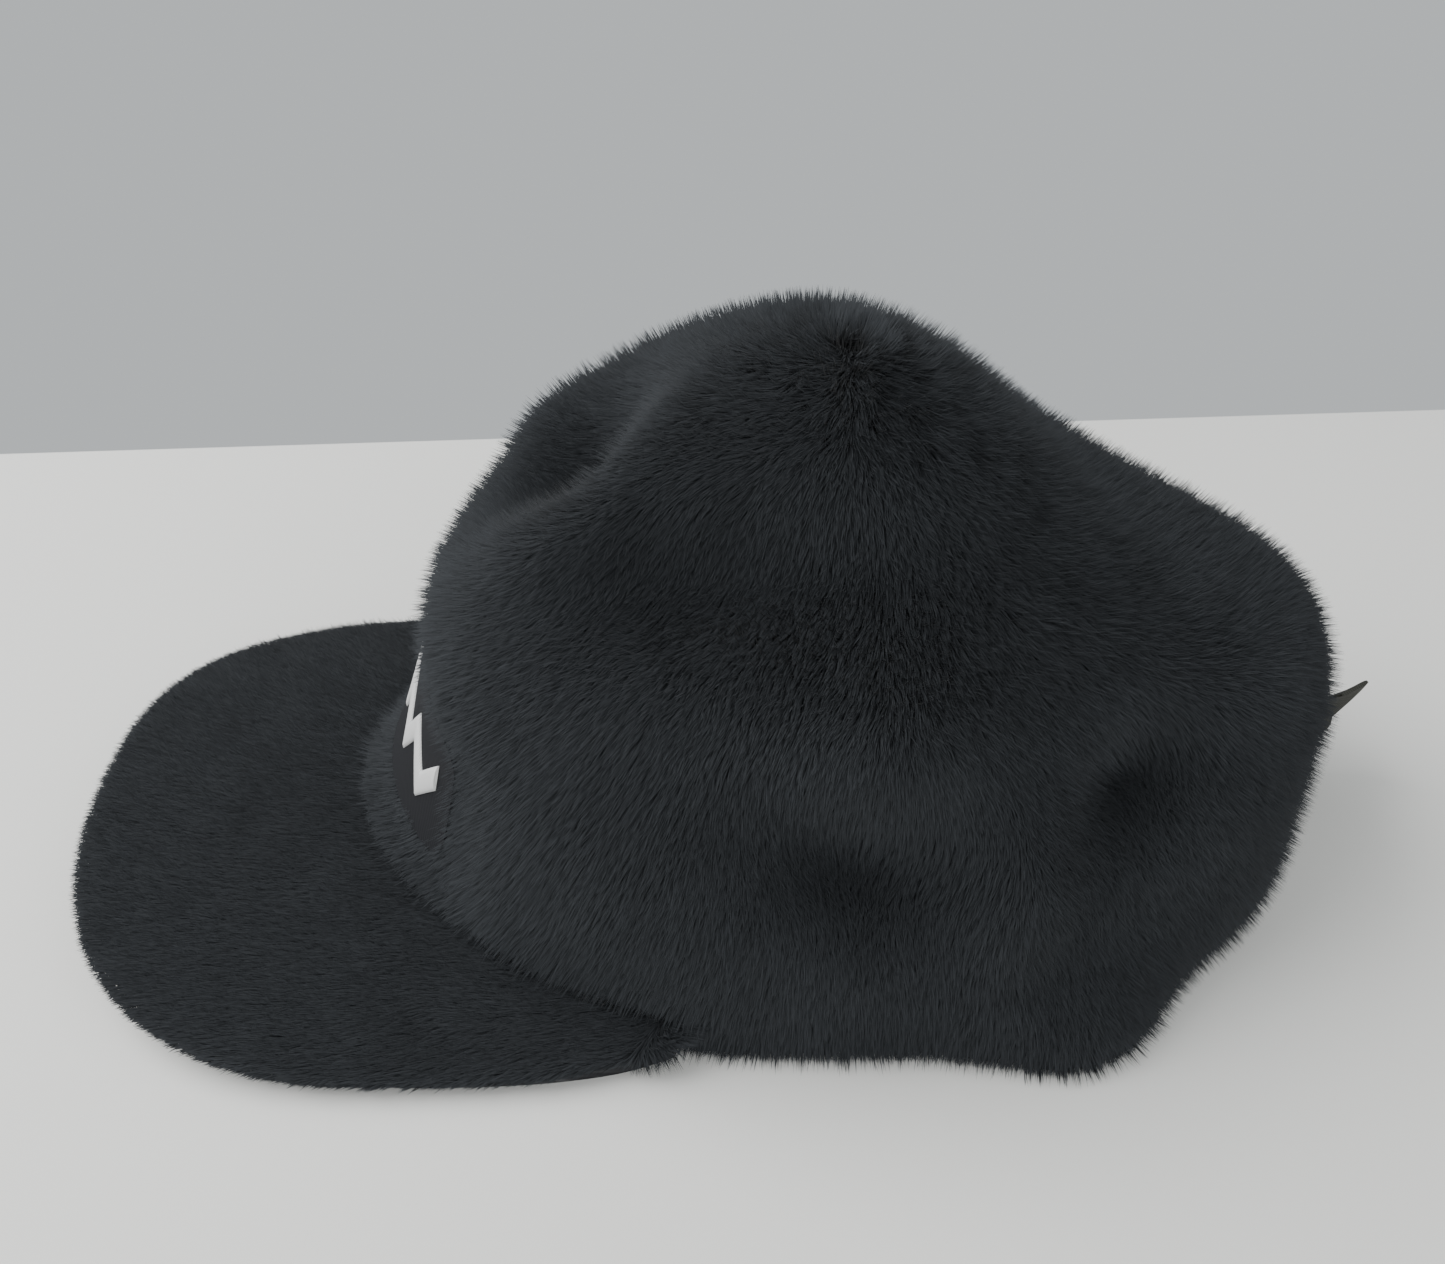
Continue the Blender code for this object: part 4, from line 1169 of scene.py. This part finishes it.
def slider_shape(name):
    """A flat frame with two slots, its outer corners rounded, standing across the strap."""
    across = [-SLIDER_LENGTH / 2, -SLIDER_BAR / 2 - SLIDER_SLOT, -SLIDER_BAR / 2]
    across += [-value for value in reversed(across)]
    half_slot = (WEB_WIDTH + SLOT_PLAY) / 2
    up = [-SLIDER_HEIGHT / 2, -half_slot, half_slot, SLIDER_HEIGHT / 2]
    body = bmesh.new()
    corners = {}
    for i, x in enumerate(across):
        for k, z in enumerate(up):
            corners[i, k] = body.verts.new((x, -SLIDER_THICK / 2, z))
    kept = [
        body.faces.new([corners[i, k], corners[i + 1, k], corners[i + 1, k + 1], corners[i, k + 1]])
        for i in range(len(across) - 1)
        for k in range(len(up) - 1)
        if not (i in SLOT_COLUMNS and k == SLOT_ROW)
    ]
    raised = bmesh.ops.extrude_face_region(body, geom=kept, use_keep_orig=True)
    for item in raised["geom"]:
        if isinstance(item, bmesh.types.BMVert):
            item.co.y += SLIDER_THICK
    bmesh.ops.recalc_face_normals(body, faces=body.faces)

    def at_corner(spot):
        ends = abs(abs(spot.x) - SLIDER_LENGTH / 2), abs(abs(spot.z) - SLIDER_HEIGHT / 2)
        return max(ends) < 0.01

    round_edges = [
        edge
        for edge in body.edges
        if all(at_corner(vert.co) for vert in edge.verts)
        and abs(edge.verts[0].co.y - edge.verts[1].co.y) > SLIDER_THICK / 2
    ]
    bmesh.ops.bevel(
        body, geom=round_edges, offset=SLIDER_ROUND, segments=6, profile=0.5, affect="EDGES"
    )
    for vert in body.verts:
        x, y = at_slider(vert.co.x, vert.co.y)
        vert.co = (x * MM, (y - Y_MIDDLE) * MM, (WEB_HEIGHT + vert.co.z) * MM)
    data = bpy.data.meshes.new(name)
    body.to_mesh(data)
    body.free()
    made = object_of(name, data)
    edge = made.modifiers.new("eased_edges", "BEVEL")
    edge.width = SLIDER_EASED * MM
    edge.segments = 3
    edge.limit_method = "ANGLE"
    edge.angle_limit = math.radians(40.0)
    graph = bpy.context.evaluated_depsgraph_get()
    eased_mesh = bpy.data.meshes.new_from_object(made.evaluated_get(graph))
    made.modifiers.clear()
    made.data = eased_mesh
    eased_mesh.shade_smooth()
    eased_mesh.set_sharp_from_angle(angle=math.radians(35.0))
    return made


FRONT = (hem_arc(-66, 66), seam("front_top"), seam("front_right"), seam("front_left"))
LEFT = (hem_arc(66, 128), seam("top_left"), seam("front_left"), seam("rear_left"))
RIGHT = (hem_arc(-66, -128), seam("top_right"), seam("front_right"), seam("rear_right"))
TOP = (seam("front_top"), seam("rear_top"), seam("top_right"), seam("top_left"))
BACK = (arched_hem, seam("rear_top"), seam("rear_right"), seam("rear_left"))

Panel = namedtuple("Panel", "name edges inset columns rows arched")
PANELS = [
    Panel("front_panel", FRONT, (0, 1, 1, 1), 54, 46, False),
    Panel("side_panel_left", LEFT, (0, 1, 1, 1), 54, 48, False),
    Panel("side_panel_right", RIGHT, (0, 1, 1, 1), 54, 48, False),
    Panel("top_panel", TOP, (1, 1, 1, 1), 50, 60, False),
    Panel("back_panel", BACK, (0, 1, 1, 1), 54, 46, True),
]

# The first panel's seed, with the others' after it, and the bill's
CROWN_SEED, BILL_SEED = 20, 31
BILL_COLUMNS, BILL_CLOTH_ROWS, BILL_PILE_ROWS = 120, 30, 90
# Width and length of two pieces' own maps
BILL_MAP, ZIGZAG_MAP = (190.0, 90.0), (9.0, 135.0)
# The bill's strands run further along and stand less than the crown's
BILL_STRANDS = {"Length": 4.8 * MM, "Rise": 1.9 * MM}


def dress_cap():
    fur = fur_finish()
    backing = backing_finish()
    strand = strand_shape()
    tree = pile_tree()
    for number, (name, edges, inset, columns, rows, arched) in enumerate(PANELS):
        cloth = slab(f"{name}_cloth", columns, rows, panel_cloth(edges, inset), panel_size(edges))
        settle(cloth, backing, name)
        bed = seedbed(columns, rows, crown_seeds(edges, arched))
        hair = grown(f"{name}_pile", bed, tree, strand, fur, CROWN_SEED + number)
        settle(hair, fur, name)
    blade = slab("bill_cloth", BILL_COLUMNS, BILL_CLOTH_ROWS, bill_cloth(BILL_COLUMNS), BILL_MAP)
    settle(blade, bill_under_finish(), "bill")
    bed = seedbed(BILL_COLUMNS, BILL_PILE_ROWS, bill_seeds(BILL_COLUMNS))
    hair = grown("bill_pile", bed, tree, strand, fur, BILL_SEED, **BILL_STRANDS)
    settle(hair, fur, "bill")
    bpy.data.objects.remove(strand, do_unlink=True)

    patch_size = (2.0 * PATCH_HALF_WIDTH, 2.0 * PATCH_HALF_HEIGHT)
    patch = slab("patch_face", 60, 32, patch_on_bed, patch_size, 40.0)
    settle(patch, twill_finish(), "patch")
    motif = slab("patch_zigzag", 8, ZIGZAG_TEETH * 16, zigzag_on_patch, ZIGZAG_MAP, 60.0)
    settle(motif, thread_finish(), "patch_motif")
    webbing = webbing_finish()
    for name, knots, rows in (("strap", strap_knots(), 180), ("strap_stub", stub_knots(), 160)):
        place, length = web_place(knots)
        web = slab(f"{name}_webbing", 12, rows, place, (WEB_WIDTH, length), 60.0)
        settle(web, webbing, name)
    settle(slider_shape("slider_frame"), plastic_finish(), "slider")


# Table, light and camera, in metres

TABLE_FAR_X, TABLE_FAR_SLOPE = -0.1994, -0.0272
TABLE_NEAR_X, TABLE_HALF_LENGTH, TABLE_DEPTH = 1.6, 1.6, 0.03

Lamp = namedtuple("Lamp", "name power size place")
LAMPS = [
    Lamp("window", 26.0, 1.2, (-0.15, -0.9, 1.0)),
    Lamp("room", 10.0, 1.6, (0.95, 0.3, 0.6)),
]
LAMPS_AIM = (0.0, 0.0, 0.05)
ROOM_GREY, ROOM_STRENGTH = (0.42, 0.44, 0.45, 1.0), 1.32

# Fitted to the table's far edge and the cap's outline. The focal length is in the image's own pixels
CAMERA_PLACE = (0.2339, -0.0167, 0.2517)
CAMERA_AIM = (-0.0769, -0.0064, 0.0)
IMAGE_WIDTH, FOCAL_PIXELS = 1445.0, 1300.0
SENSOR_WIDTH = 36.0


def lay_table():
    corners = []
    for z in (0.0, -TABLE_DEPTH):
        for x_near, y in ((False, -1), (False, 1), (True, 1), (True, -1)):
            y = y * TABLE_HALF_LENGTH
            x = TABLE_NEAR_X if x_near else TABLE_FAR_X + TABLE_FAR_SLOPE * y
            corners.append((x, y, z))
    faces = [(0, 3, 2, 1), (4, 5, 6, 7), (0, 1, 5, 4), (1, 2, 6, 5), (2, 3, 7, 6), (3, 0, 4, 7)]
    data = bpy.data.meshes.new("table")
    data.from_pydata(corners, [], faces)
    data.materials.append(table_finish())
    table = object_of("table", data)
    edge = table.modifiers.new("eased_edge", "BEVEL")
    edge.width = 2.0 * MM
    edge.segments = 2


def aim(thing, place, target):
    thing.location = place
    thing.rotation_euler = (Vector(target) - Vector(place)).to_track_quat("-Z", "Y").to_euler()


def light_scene():
    for name, power, size, place in LAMPS:
        lamp = bpy.data.lights.new(name, "AREA")
        lamp.energy = power
        lamp.size = size
        aim(object_of(name, lamp), place, LAMPS_AIM)
    world = bpy.data.worlds.new("grey_room")
    world.use_nodes = True
    back = world.node_tree.nodes["Background"]
    back.inputs["Color"].default_value = ROOM_GREY
    back.inputs["Strength"].default_value = ROOM_STRENGTH
    bpy.context.scene.world = world


def place_camera():
    camera = bpy.data.cameras.new("camera")
    camera.sensor_fit = "HORIZONTAL"
    camera.sensor_width = SENSOR_WIDTH
    camera.lens = FOCAL_PIXELS / IMAGE_WIDTH * SENSOR_WIDTH
    camera.clip_start = 0.02
    camera.clip_end = 20.0
    made = object_of("camera", camera)
    aim(made, CAMERA_PLACE, CAMERA_AIM)
    bpy.context.scene.camera = made


place_camera()
dress_cap()
lay_table()
light_scene()
